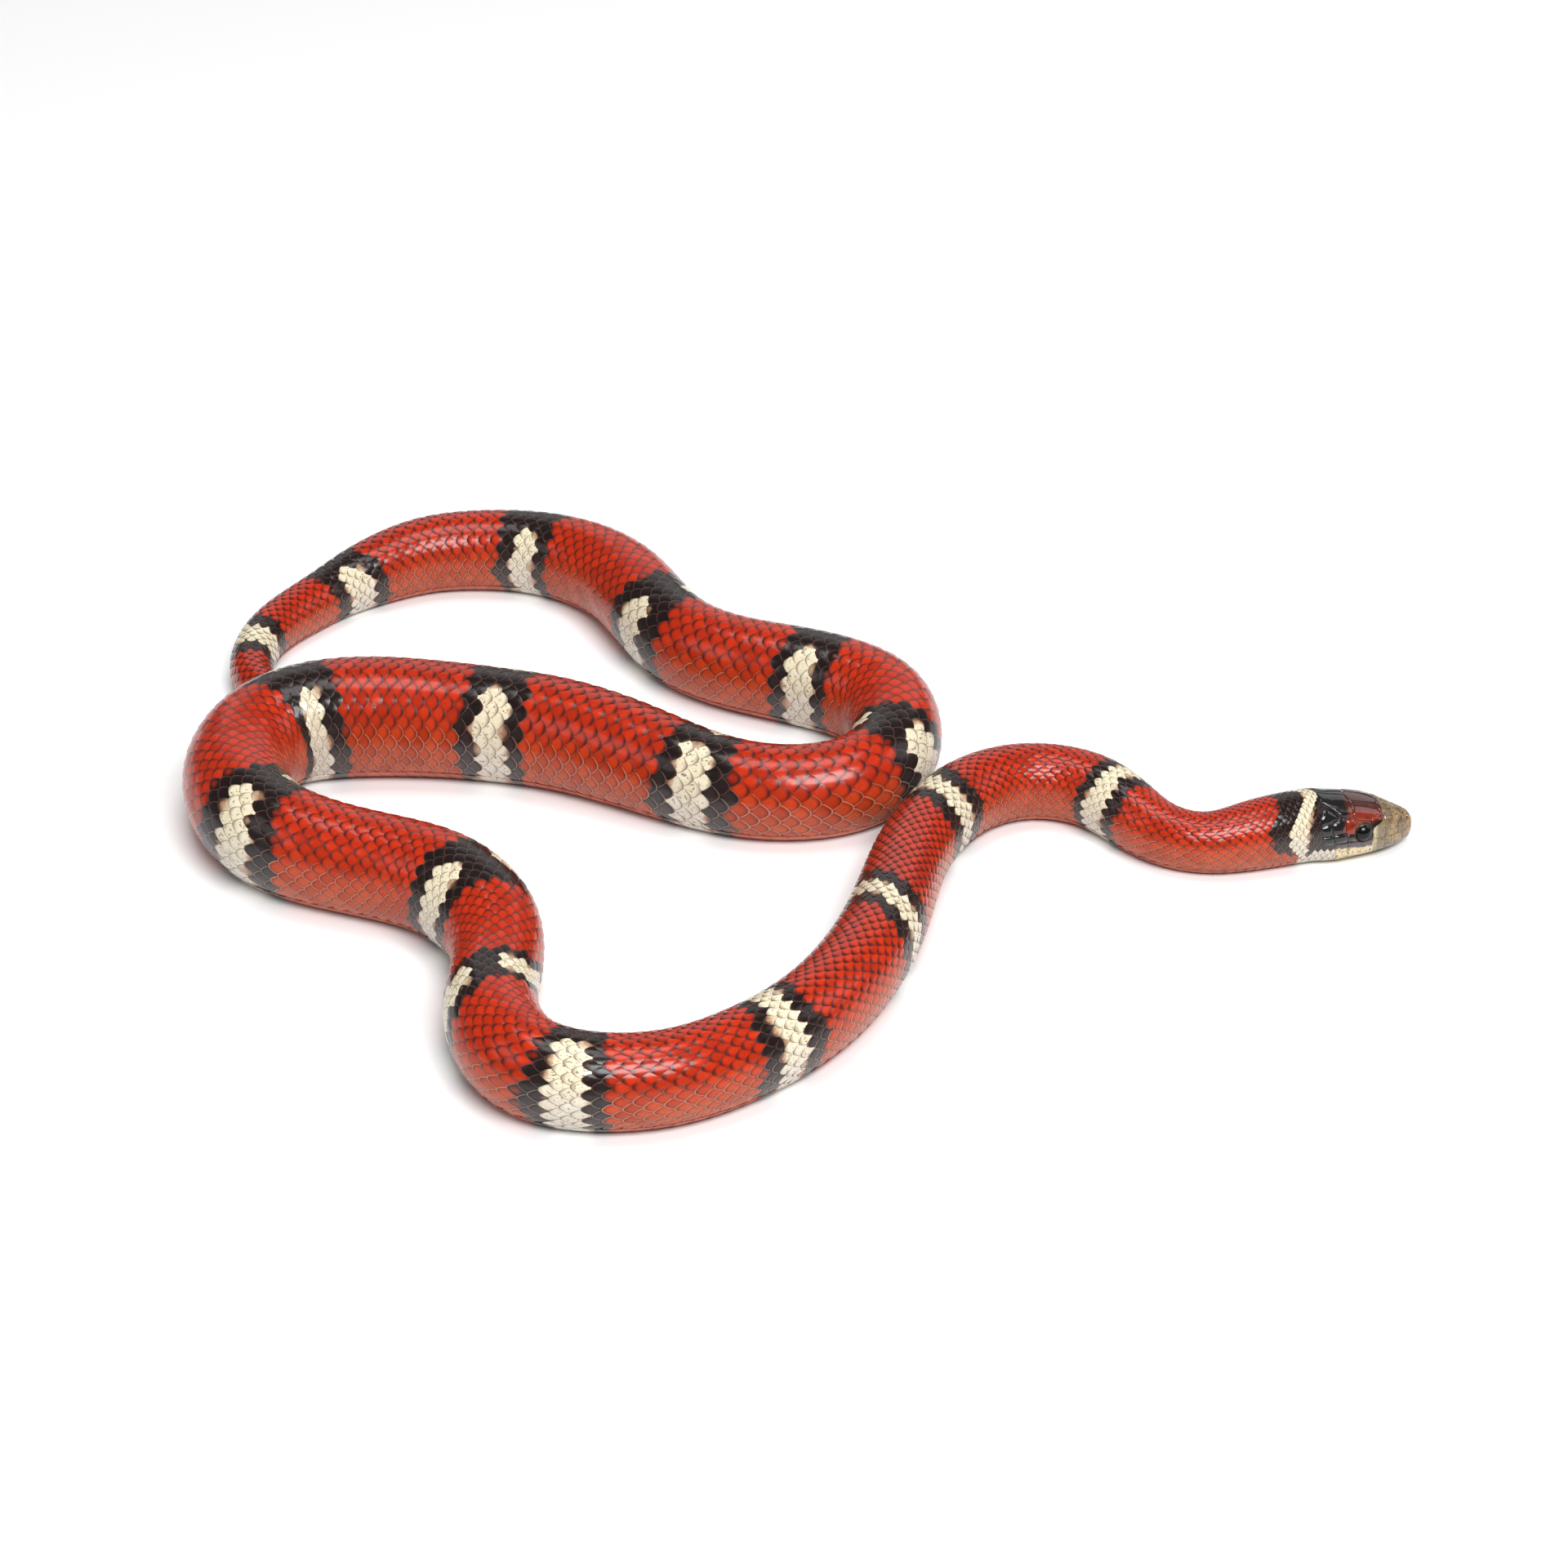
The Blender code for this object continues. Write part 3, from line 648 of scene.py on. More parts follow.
def skin_mesh():
    stations = np.concatenate([
        np.linspace(0, HEAD_END, HEAD_STATIONS, endpoint=False),
        np.linspace(HEAD_END, SKIN_END, BODY_STATIONS + 1),
    ])
    bm = bmesh.new()
    bmesh.ops.create_grid(bm, x_segments=len(stations) - 1, y_segments=SKIN_ROUND, size=1)
    flat = np.array([vert.co for vert in bm.verts])
    distance = stations[np.rint((flat[:, 0] + 1) / 2 * (len(stations) - 1)).astype(int)]
    turn = flat[:, 1] * math.pi
    points = lay(distance, turn, np.full(len(distance), -SKIN_DEPTH))
    points[:, 2] = np.maximum(points[:, 2], SKIN_GAP)
    for centre, axis in EYES.values():
        off, height = around_eye(points, centre, axis)
        hollow = (off < SOCKET_RADIUS) & (height > 0)
        points -= (hollow * SOCKET_DEPTH * (1 - (off / SOCKET_RADIUS) ** 4))[:, None] * axis
    marks = markings(distance, turn)
    layers = [bm.verts.layers.float.new(name) for name in ("cream", "black", "low")]
    unwrap = bm.loops.layers.uv.new("OFBake")
    for face in bm.faces:
        corners = [vert.index for vert in face.verts]
        strip = np.floor(distance[corners].mean() / TAIL_TIP * STRIPS)
        for loop, place in zip(face.loops, skin_map(distance[corners], turn[corners], strip)):
            loop[unwrap].uv = place
    for vert, point, mark in zip(bm.verts, points, marks):
        vert.co = point
        for layer, value in zip(layers, mark):
            vert[layer] = value
    bmesh.ops.remove_doubles(bm, verts=bm.verts, dist=MERGE)
    bmesh.ops.holes_fill(bm, edges=[edge for edge in bm.edges if edge.is_boundary])
    bmesh.ops.recalc_face_normals(bm, faces=bm.faces)
    return finished_mesh("skin", bm)


def skin_material():
    """Pale pinkish grey, tinted by the ring it lies in; painted shade darkens it on the back, and
    painted light from the floor makes it paler low on the sides.
    """
    material, tree, shader = new_material("skin_between_scales", SKIN_ROUGHNESS)
    colour = use_group(
        tree, ring_colour, Cream=attribute(tree, "cream"), Black=attribute(tree, "black"),
        Low=attribute(tree, "low"), Seed=SKIN_SEED)["Colour"]
    # Painted shade darkens the seams on the back; painted light from the floor turns them pale pink
    # low on the sides, less on the black.
    low = ramp(tree, attribute(tree, "low"), *PALENESS_AND_FLOOR_LIGHT)
    pale = product(tree, ramp(tree, attribute(tree, "black"), *BLACK_PALENESS), low)
    colour = mix(tree, low, mix(tree, SHADE_STRENGTH, colour, PAINTED_SEAM_SHADE), colour)
    feed(tree, shader.inputs["Base Color"], mix(tree, pale, colour, FLOOR_LIT_SEAM_TONE))
    bump(tree, shader, use_group(tree, fine_grain, Size=1.0)["Height"], SKIN_BUMP)
    return material


BODY_NODES = ("neck", *(f"body_{i}" for i in range(1, 10)), "tail_1", "tail_2")
new_object("skin", skin_mesh(), skin_material(), "scaled_skin", "head", *BODY_NODES)


# The scales
# Smooth lozenges of horn in long rows, each row half a scale behind the next, every tip
# lying over the roots behind it. They are smallest on the neck and on the tail.
SCALE_LENGTHS = (
    (0.020, 0.0015), (0.028, 0.0017), (0.038, 0.0020), (0.050, 0.0023), (0.062, 0.0026),
    (0.095, 0.0035), (0.150, 0.0034), (0.200, 0.0035), (0.258, 0.0037), (0.290, 0.0034),
    (0.330, 0.0034), (0.370, 0.0039), (0.425, 0.0036), (0.485, 0.0036), (0.530, 0.0041),
    (0.590, 0.0039), (0.605, 0.0037), (0.680, 0.0037), (0.735, 0.0042), (0.785, 0.0034),
    (0.840, 0.0030), (0.900, 0.0025), (0.949, 0.0014),
)
ROW_ANGLES = (
    (0.020, 8.4), (0.050, 8.6), (0.062, 9.3), (0.095, 8.3), (0.215, 8.2), (0.270, 9.0),
    (0.385, 9.1), (0.440, 9.8), (0.485, 10.8), (0.550, 11.4), (0.590, 12.4), (0.680, 12.0),
    (0.745, 11.3), (0.840, 13.0), (0.949, 22.0),
)
PITCH_STEP = 0.0005         # step in which the rows are counted out
OUTER_ROW = 16              # rows on each side of the middle of the back, before the belly
LOWEST_ROW = 134            # degrees from the back where the belly scutes begin
LENGTH_SPREAD = 0.03        # how much a scale's length may differ
SCALE_SIDES = 14
SCALE_INSETS = (0.14, 0.40)
SCALE_SQUARE = 1.3          # 1 is a plain lozenge and 2 an ellipse
SCALE_REACH = 0.59          # half length over the distance between two scales in a row
SCALE_SPREAD = 0.97         # half width over the distance between two rows
SCALE_RISE = (              # root to tip, and the height over the body's surface
    (-1, -0.00036), (-0.5, -0.00022), (0.1, -0.00012), (0.6, -0.00008), (1, -0.00009))
SCALE_DOME = 0.00019        # how far the sides of a scale lie lower than its middle
SCALE_ROUNDING = 0.00013    # how far its edge is rounded down
RIM = 0.99                  # share of the way out from the middle where the rim starts
UNDER_EDGE = 0.3            # added to the edge's value on the underside, to shade it
TAIL_MARGIN = 0.0002        # how far short of the tail's tip the last scales end
PLATE_DEPTH = 0.00036
PLATE_SIZE = ((0.028, 0.09, 0.82, 0.94), (0.7, 1, 1, 0.45))     # share of the full thickness
FLOOR_GAP = 0.00002         # lowest that any scale or shield reaches
PATCH = 0.003               # size of a scale's own patch on the unwrap
HEAD_BACK = (               # degrees from the back, and where the scales start behind the shields
    (0, 20, 45, 75, 95, 110), (0.0240, 0.0236, 0.0233, 0.0244, 0.0216, 0.0210))
# The dark of a scale's tip: partly its own dark tipping, partly painted shade.
DARK_TIP_AND_SHADE = (0.035, 0.008, 0.008)
SPECK = (0.10, 0.06, 0.03)
# Rim tones: dark as painted shade on the back, pale pink as painted light and highlight from the
# floor low on the side, for red and for black; the cream's is its seams' own brown.
SHADED_BACK_RIM_TONE = (0.08, 0.020, 0.014)
FLOOR_LIT_RIM_TONE = (0.50, 0.29, 0.19)
BLACK_RIM_TONE = (0.080, 0.052, 0.047)
FLOOR_LIT_BLACK_RIM_TONE = (0.27, 0.20, 0.17)
CREAM_RIM_TONE = (0.16, 0.10, 0.06)
SPLIT = 0.20                # how far a marking's edge may cut across a scale
# Fades on a scale, from its middle (0) to its edge (1) or its root (-1) to its tip (1)
# Painted shade: a scale darkens towards its edge, and towards its tip, where its own dark tipping
# adds to it.
EDGE_SHADE = (0.35, 0.85, 0, 0.5)
TIP_SHADE = (0.6, 1.1, 0, 0.9)
TIP_EDGE = 0.35             # how much the edge counts towards the tip
TIP_ON_CREAM = (0, 1, 1.0, 0.55)
# the tip's dark fades low on the side, where the floor's painted light falls
TIP_UNDER_FLOOR_LIGHT = (0, 0.6, 1.0, 0.4)
RIM_FADE = (0.86, 0.96, 0, 0.75)
# where the rims turn to their painted floor light
FLOOR_LIGHT_RIM_FADE = (0.10, 0.60)
BLACK_GAIN = 1.9            # black creeps in from the edges of the scales where it starts
BLACK_CORE = 0.9
SPECK_NOISE = (3.2, 1)
SPECK_SHIFT = 37.0          # moves the specks about from one scale to the next
SPECK_FADE = (0.60, 0.68, 0, 0.75)
SPECK_END = (0.75, 0.6)
LEAN = 4.5                  # how far each scale catches the light in its own way
LEAN_SHUFFLE = 7.3
SCALE_BUMP = 0.00004
BACK_SHINE = (0.22, 0.18)   # roughness and coat
SCALE_SHINE = (0.14, 0.22)  # the coat's roughness and the gloss, on the back and the belly
SCALE_SEED = 7
COAT_LENGTHS = (0.10, 0.20, 0.32, 0.44, 0.56, 0.68, 0.80, 0.95)


def plate_parts(bm):
    """Places of the corners, and the faces, of one closed plate."""
    bmesh.ops.recalc_face_normals(bm, faces=bm.faces)
    bm.verts.index_update()
    places = np.array([vert.co for vert in bm.verts])
    faces = [[vert.index for vert in face.verts] for face in bm.faces]
    bm.free()
    return places, faces


def one_scale():
    """Places along, across and edge, and the faces, of one closed lozenge plate."""
    bm = bmesh.new()
    bmesh.ops.create_circle(bm, segments=SCALE_SIDES, radius=1, cap_ends=True)
    for thickness in SCALE_INSETS:
        inner = max(bm.faces, key=lambda face: (len(face.verts), -face.calc_area()))
        bmesh.ops.inset_region(bm, faces=[inner], thickness=thickness)
    inner = min(bm.faces, key=lambda face: face.calc_center_median().length)
    bmesh.ops.poke(bm, faces=[inner])
    rim = [edge for edge in bm.edges if edge.is_boundary]
    skirt = bmesh.ops.extrude_edge_only(bm, edges=rim)["geom"]
    for vert in skirt:
        if isinstance(vert, bmesh.types.BMVert):
            vert.co.z = -1
    bmesh.ops.holes_fill(bm, edges=[edge for edge in bm.edges if edge.is_boundary])
    places, faces = plate_parts(bm)
    edge = np.hypot(places[:, 0], places[:, 1])
    angle = np.arctan2(places[:, 1], places[:, 0])
    shape = (np.abs(np.cos(angle)) ** SCALE_SQUARE + np.abs(np.sin(angle)) ** SCALE_SQUARE)
    shape = shape ** (-1 / SCALE_SQUARE)
    along = edge * shape * np.cos(angle)
    across = edge * shape * np.sin(angle)
    return along, across, edge, places[:, 2] < -0.5, faces


def joined_mesh(name, points, faces, count, rim):
    """One mesh from many copies of the same faces, with a crisp edge along each copy's rim."""
    per_copy = len(points) // count
    sizes = np.array([len(face) for face in faces], np.int32)
    corners = np.concatenate(faces).astype(np.int32)
    shift = np.arange(count, dtype=np.int32)[:, None] * per_copy
    corners = (corners[None] + shift).ravel()
    sizes = np.tile(sizes, count)
    mesh = bpy.data.meshes.new(name)
    mesh.vertices.add(len(points))
    mesh.loops.add(len(corners))
    mesh.polygons.add(len(sizes))
    mesh.vertices.foreach_set("co", points.astype(np.float32).ravel())
    mesh.loops.foreach_set("vertex_index", corners)
    starts = np.concatenate([[0], np.cumsum(sizes)[:-1]]).astype(np.int32)
    mesh.polygons.foreach_set("loop_start", starts)
    mesh.update(calc_edges=True)
    ends = np.empty(len(mesh.edges) * 2, np.int32)
    mesh.edges.foreach_get("vertices", ends)
    crisp = rim[ends.reshape(-1, 2) % per_copy].all(axis=1)
    mesh.attributes.new("sharp_edge", "BOOLEAN", "EDGE").data.foreach_set("value", crisp)
    return mesh, corners


def set_attribute(mesh, name, values):
    layer = mesh.attributes.new(name, "FLOAT", "POINT")
    layer.data.foreach_set("value", np.asarray(values, np.float32).ravel())


def mark_plates(mesh, corners, marks, root, local, **fields):
    """Gives joined plates the values that colour them, and a patch each on the unwrap."""
    for label, values in (*zip(("cream", "black", "low"), marks.T), *fields.items()):
        set_attribute(mesh, label, values)
    unwrap = root[:, None] + np.stack(local, -1)[None] * PATCH / 2
    layer = mesh.uv_layers.new(name="OFBake")
    layer.data.foreach_set("uv", unwrap.reshape(-1, 2).astype(np.float32)[corners].ravel())


def look_up(table, where):
    return np.interp(where, *np.array(table).T)


def counted_rows(start, end):
    """Places along a stretch, and the number of scales in a row up to each."""
    fine = np.arange(start, end, PITCH_STEP)
    pitch = look_up(SCALE_LENGTHS, fine)
    return fine, np.concatenate([[0], np.cumsum(PITCH_STEP / pitch[:-1])])


def scale_places(start, end):
    """Distance and degrees from the back of each scale of one stretch of the body."""
    fine, count = counted_rows(SCALE_LENGTHS[0][0], TAIL_TIP)
    places = []
    for row in range(-OUTER_ROW, OUTER_ROW + 1):
        ranks = np.arange(0, count[-1]) + (0.5 if row % 2 else 0.0)
        distance = np.interp(ranks, count, fine)
        turn = row * look_up(ROW_ANGLES, distance)
        keep = (distance >= start) & (distance < end) & (np.abs(turn) < LOWEST_ROW)
        places.append(np.stack([distance[keep], turn[keep]], -1))
    return np.concatenate(places)


def lay_plates(name, at_distance, at_turn, over, faces, rim):
    """One mesh of plates laid over the body, each with its own row of places."""
    reach = np.minimum(at_distance, TAIL_TIP - TAIL_MARGIN)
    points = lay(reach.ravel(), at_turn.ravel(), over.ravel())
    points[:, 2] = np.maximum(points[:, 2], FLOOR_GAP)
    return joined_mesh(name, points, faces, len(at_distance), rim)


def scale_mesh(name, start, end, draw):
    along, across, edge, under, faces = one_scale()
    places = scale_places(start, end)
    behind_head = places[:, 0] > np.interp(np.abs(places[:, 1]), *HEAD_BACK)
    distance, degrees = places[behind_head].T
    count = len(distance)
    length = look_up(SCALE_LENGTHS, distance) * SCALE_REACH
    width = np.radians(look_up(ROW_ANGLES, distance)) * SCALE_SPREAD
    seed = draw.random(count)
    length = length * (1 - LENGTH_SPREAD + 2 * LENGTH_SPREAD * draw.random(count))
    at_distance = distance[:, None] + length[:, None] * along
    at_turn = np.radians(degrees)[:, None] + width[:, None] * across
    lift = look_up(SCALE_RISE, along) - SCALE_DOME * across ** 2 - SCALE_ROUNDING * edge ** 6
    over = (lift - PLATE_DEPTH * under) * np.interp(distance, *PLATE_SIZE)[:, None]
    mesh, corners = lay_plates(name, at_distance, at_turn, over, faces, edge > RIM)
    marks = markings(
        (distance[:, None] + SPLIT * length[:, None] * along).ravel(),
        (np.radians(degrees)[:, None] + SPLIT * width[:, None] * across).ravel())
    root = skin_map(distance - length, np.radians(degrees))
    mark_plates(
        mesh, corners, marks, root, (along, across), seed=np.repeat(seed, len(along)),
        along=np.tile(along, count), across=np.tile(across, count),
        edge=np.tile(edge + under * UNDER_EDGE, count))
    return mesh


def scale_material(name, roughness, coat):
    """Glossy horn: darker towards the edge as painted shade; dark towards the tip, partly its own
    dark tipping and partly painted shade; a thin rim of painted shade on the back and painted floor
    light low on the side, brown on the cream; and specks on the cream scales.
    """
    material, tree, shader = new_material(name, roughness, coat, *SCALE_SHINE)
    seed, along, across, edge, cream, low = (
        attribute(tree, label) for label in ("seed", "along", "across", "edge", "cream", "low"))
    core = product(tree, rest(tree, edge), BLACK_CORE)
    black = product(tree, attribute(tree, "black"), BLACK_GAIN)
    black = calc(tree, "SUBTRACT", black, core, True)
    colour = use_group(tree, ring_colour, Cream=cream, Black=black, Low=low, Seed=seed)["Colour"]
    # Painted shade: each scale darkens towards its edge, except on the cream.
    shade = product(tree, ramp(tree, edge, *EDGE_SHADE), ramp(tree, cream, 0, 1, 1, 0))
    colour = mix(tree, shade, colour, mix(tree, black, DARK_RED_AND_EDGE_SHADE, BLACK))
    # The tip darkens, partly as its own dark tipping and partly as painted shade, less on the cream
    # and low on the side under the floor's painted light.
    tip = calc(tree, "ADD", along, product(tree, edge, TIP_EDGE))
    tip = product(tree, ramp(tree, tip, *TIP_SHADE), ramp(tree, cream, *TIP_ON_CREAM),
                  ramp(tree, low, *TIP_UNDER_FLOOR_LIGHT))
    colour = mix(tree, tip, colour, DARK_TIP_AND_SHADE)
    # The rim: painted shade on the back, painted light and highlight from the floor low on the
    # side, and the seams' own brown on the cream.
    low = ramp(tree, low, *FLOOR_LIGHT_RIM_FADE)
    tone = mix(tree, low, SHADED_BACK_RIM_TONE, FLOOR_LIT_RIM_TONE)
    tone = mix(tree, black, tone, mix(tree, low, BLACK_RIM_TONE, FLOOR_LIT_BLACK_RIM_TONE))
    tone = mix(tree, cream, tone, CREAM_RIM_TONE)
    colour = mix(tree, ramp(tree, edge, *RIM_FADE), colour, tone)
    speck = tree.nodes.new("ShaderNodeCombineXYZ")
    for socket, value in zip(speck.inputs, (along, across, product(tree, seed, SPECK_SHIFT))):
        feed(tree, socket, value)
    dots = ramp(tree, noise(tree, *SPECK_NOISE, speck.outputs[0]), *SPECK_FADE)
    dots = product(tree, dots, cream, ramp(tree, edge, *SPECK_END))
    feed(tree, shader.inputs["Base Color"], mix(tree, dots, colour, SPECK))
    other = calc(tree, "FRACT", product(tree, seed, LEAN_SHUFFLE))
    forward = product(tree, centred(tree, seed), along)
    sideways = product(tree, centred(tree, other), across)
    lean = product(tree, calc(tree, "ADD", forward, sideways), LEAN)
    grain = use_group(tree, fine_grain, Size=1.0)["Height"]
    bump(tree, shader, calc(tree, "ADD", grain, lean), SCALE_BUMP)
    return material


back_scales = scale_material("back_scales", *BACK_SHINE)
draw = np.random.default_rng(SCALE_SEED)
for i, (start, end) in enumerate(zip((SCALE_LENGTHS[0][0], *COAT_LENGTHS), COAT_LENGTHS)):
    name = f"scales_{i + 1}"
    new_object(name, scale_mesh(name, start, end, draw), back_scales, "scaled_skin", *BODY_NODES)


# The belly
# Broad smooth scutes, one to each scale of a row, that wrap the belly from side to side.
# Behind the vent they are in pairs that meet along the middle.
SCUTE_EDGE = 128            # degrees from the back where a scute's end lies under the scales
SCUTE_FACES = (12, 2)
SCUTE_DEPTH = 0.00025
SCUTE_LAP = 1.25            # length of a scute over the distance between two
SCUTE_BOW = 0.35            # how far its middle lies back, over its half length
SCUTE_RISE = -0.00006
SCUTE_SLOPE = 0.00010       # how far its front edge lies lower than its back edge
VENT = 0.829
THROAT_START = 0.0160       # behind the shields of the chin
SUBCAUDAL_END = 0.946
SCUTE_SHINE = (0.30, 0.15)


def one_scute():
    """Places along and across a closed strip, from 0 to 1 across, and its faces."""
    bm = bmesh.new()
    bmesh.ops.create_grid(bm, x_segments=SCUTE_FACES[1], y_segments=SCUTE_FACES[0], size=1)
    under = bmesh.ops.extrude_face_region(bm, geom=bm.faces[:])["geom"]
    for part in under:
        if isinstance(part, bmesh.types.BMVert):
            part.co.z = -1
    places, faces = plate_parts(bm)
    return places[:, 0], places[:, 1] / 2 + 0.5, places[:, 2] < -0.5, faces


def scute_mesh(name, start, end, from_degrees, to_degrees, phase):
    along, across, under, faces = one_scute()
    fine, count = counted_rows(start, end)
    distance = np.interp(np.arange(phase, count[-1]), count, fine)
    length = look_up(SCALE_LENGTHS, distance) * SCUTE_LAP / 2
    turn = np.radians(from_degrees + (to_degrees - from_degrees) * across)
    bow = SCUTE_BOW * np.sin(np.pi * across)
    at_distance = distance[:, None] + length[:, None] * (along + bow)
    at_turn = np.broadcast_to(turn, at_distance.shape)
    lift = SCUTE_RISE - SCUTE_DEPTH * under - SCUTE_SLOPE * (1 - along) / 2
    over = np.broadcast_to(lift, at_distance.shape)
    wide = across * 2 - 1
    rim = (np.abs(along) > RIM) | (np.abs(wide) > RIM)
    mesh, corners = lay_plates(name, at_distance, at_turn, over, faces, rim)
    marks = markings(at_distance.ravel(), at_turn.ravel())
    middle = np.radians((from_degrees + to_degrees) / 2) - math.pi
    root = skin_map(distance, np.full(len(distance), middle))
    mark_plates(
        mesh, corners, marks, root, (along, wide),
        seed=np.repeat(draw.random(len(distance)), len(along)),
        along=np.tile(along, len(distance)),
        across=np.tile(wide * SCUTE_FACES[0] / 2, len(distance)), edge=np.zeros(at_turn.size))
    return mesh


belly_scutes = scale_material("belly_scutes", *SCUTE_SHINE)
for name, start, end, low, high, phase in (
    ("belly_scutes", THROAT_START, VENT, SCUTE_EDGE, 360 - SCUTE_EDGE, 0.0),
    ("tail_scutes_right", VENT, SUBCAUDAL_END, SCUTE_EDGE, 180, 0.0),
    ("tail_scutes_left", VENT, SUBCAUDAL_END, 180, 360 - SCUTE_EDGE, 0.5),
):
    new_object(name, scute_mesh(name, start, end, low, high, phase), belly_scutes, "scaled_skin",
               *BODY_NODES)


# The shields of the head
# Large smooth plates of horn, one of each pair on either side, that meet in fine seams. They
# are drawn as seen from above or from the side: distance from the snout, then the offset from
# the middle or the height over the floor. Those under the jaw are drawn in degrees from the crown.
SEAM = 0.00004
SHIELD_GRID = 0.0006        # size of a shield's faces
SNOUT_GRID = 0.0003
SNOUT_BACK = 0.0035         # shields that start before this get the finer faces
SHIELD_CORNER = 0.00022     # how much of each corner is rounded off
TEMPLE_CORNER = 0.00055
CORNER_FACES = 3
SHIELD_MERGE = 1e-7         # shields have finer faces than the rest at their corners
SHIELD_HEIGHT = 0.00002     # of its middle over the body's surface, and of its edge
SHIELD_FOOT = -0.00006
SHIELD_DEPTH = 0.00040
DOME_REACH = 0.0009         # how far in from its edge a temple shield still rises
TEMPLE_DOME = 0.00014       # and by how much
SHIELD_BANDS = (0.00006, 0.00007, 0.00009)       # rings of faces that round a shield's edge
DEGREE = 0.00014            # length of one degree round the jaw in the flat drawings
CROWN_SIDE = (18, 50)       # degrees from the middle over which the crown turns brow
NOSTRIL_PLACE = (0.0038, math.radians(45))      # distance from the snout, turn
NOSTRIL_RADIUS = 0.00050
NOSTRIL_DEPTH = 0.0002
ROSTRAL_BACK = ((0, 35, 60, 108, 122), (0.0020, 0.0018, 0.0012, 0.0010, 0.0006))
ROSTRAL_DOME = 0.00004
ROSTRAL_SINK = 0.00004      # keeps its rim inside the solid's tip
ROSTRAL_FACES = (10, 28)
ROSTRAL_START = 0.01        # share of its length where the surface is first measured
MIDDLE_SEED = 0.5           # for the two shields in the middle of the head
SHARPNESS = 4               # of the nostril's rim
TIP_REACH = 0.0001          # nearest to the snout's end that any other shield starts
MILLIMETRES = 1000
SHIELDS_ABOVE = {
    "internasal": ((0.0021, 0.0), (0.0019, 0.0020), (0.0032, 0.0032), (0.0048, 0.0026),
                   (0.0048, 0.0)),
    "prefrontal": ((0.0048, 0.0), (0.0048, 0.0026), (0.0062, 0.0038), (0.0084, 0.0044),
                   (0.0099, 0.0050), (0.0098, 0.0033), (0.0090, 0.0)),
    "supraocular": ((0.0098, 0.0033), (0.0099, 0.0050), (0.0118, 0.0060), (0.0135, 0.0064),
                    (0.0160, 0.0065), (0.0172, 0.0060), (0.0168, 0.0029), (0.0140, 0.0028)),
    "parietal": ((0.0178, 0.0), (0.0168, 0.0029), (0.0172, 0.0060), (0.0200, 0.0062),
                 (0.0222, 0.0048), (0.0246, 0.0032), (0.0248, 0.0)),
}
FRONTAL = ((0.0090, 0.0), (0.0098, 0.0033), (0.0140, 0.0028), (0.0168, 0.0029), (0.0178, 0.0),
           (0.0168, -0.0029), (0.0140, -0.0028), (0.0098, -0.0033))
SHIELDS_BESIDE = {
    "nasal": ((0.0013, 0.0049), (0.0050, 0.0049), (0.0052, 0.0090), (0.0042, 0.0086),
              (0.0028, 0.0076), (0.0014, 0.0065)),
    "loreal": ((0.0050, 0.0049), (0.0088, 0.0052), (0.0088, 0.0102), (0.0070, 0.0096),
               (0.0052, 0.0090)),
    "preocular": ((0.0088, 0.0052), (0.0124, 0.0057), (0.0122, 0.0082), (0.0126, 0.0104),
                  (0.0112, 0.0108), (0.0088, 0.0097)),
    "postocular_low": ((0.0162, 0.0060), (0.0188, 0.0064), (0.0193, 0.0084), (0.0171, 0.0082)),
    "postocular_high": ((0.0171, 0.0082), (0.0193, 0.0084), (0.0193, 0.0122), (0.0172, 0.0117),
                        (0.0162, 0.0107)),
    "temporal_low": ((0.0188, 0.0064), (0.0222, 0.0066), (0.0228, 0.0092), (0.0193, 0.0090)),
    "temporal_high": ((0.0193, 0.0090), (0.0228, 0.0092), (0.0230, 0.0119), (0.0205, 0.0126),
                      (0.0193, 0.0124)),
    "temporal_low_back": ((0.0222, 0.0066), (0.0252, 0.0070), (0.0258, 0.0092), (0.0228, 0.0092)),
    "temporal_mid_back": ((0.0228, 0.0092), (0.0258, 0.0092), (0.0260, 0.0118), (0.0230, 0.0122)),
    "temporal_high_back": ((0.0206, 0.0127), (0.0230, 0.0120), (0.0260, 0.0118), (0.0258, 0.0138),
                           (0.0240, 0.0152), (0.0222, 0.0143)),
}
LIP_SEAMS = (0.0008, 0.0034, 0.0058, 0.0086, 0.0116, 0.0150, 0.0184, 0.0216)
LIP_TOPS = (0.0049, 0.0049, 0.0049, 0.0052, 0.0056, 0.0059, 0.0063, 0.0066)
LIP_DROP = 0.5              # how far the upper lip hangs from the widest jaw to the chin
LIP_LEAN = 0.0004           # how far back the top of a lip shield lies
JAW_SEAMS = (0.0010, 0.0028, 0.0050, 0.0074, 0.0100, 0.0128, 0.0156, 0.0184, 0.0212)
JAW_ROWS = (125, 142)       # degrees from the crown
SHIELDS_UNDER = {
    "chin_front": ((0.0030, 179), (0.0032, 143), (0.0088, 143), (0.0092, 179)),
    "chin_back": ((0.0094, 178), (0.0090, 143), (0.0150, 143), (0.0158, 174)),
    "mental": ((0.0010, 180), (0.0010, 143), (0.0026, 143), (0.0028, 180)),
}


def turn_above(distance, offset):
    """Turn round the head of a place seen from above."""
    ring = head_ring_at(np.clip(distance, 0, HEAD_END))
    across = np.clip(np.abs(offset) / ring[..., 0], 0, 1)
    return np.sign(offset) * np.arcsin(across ** (ring[..., 5] / 2))


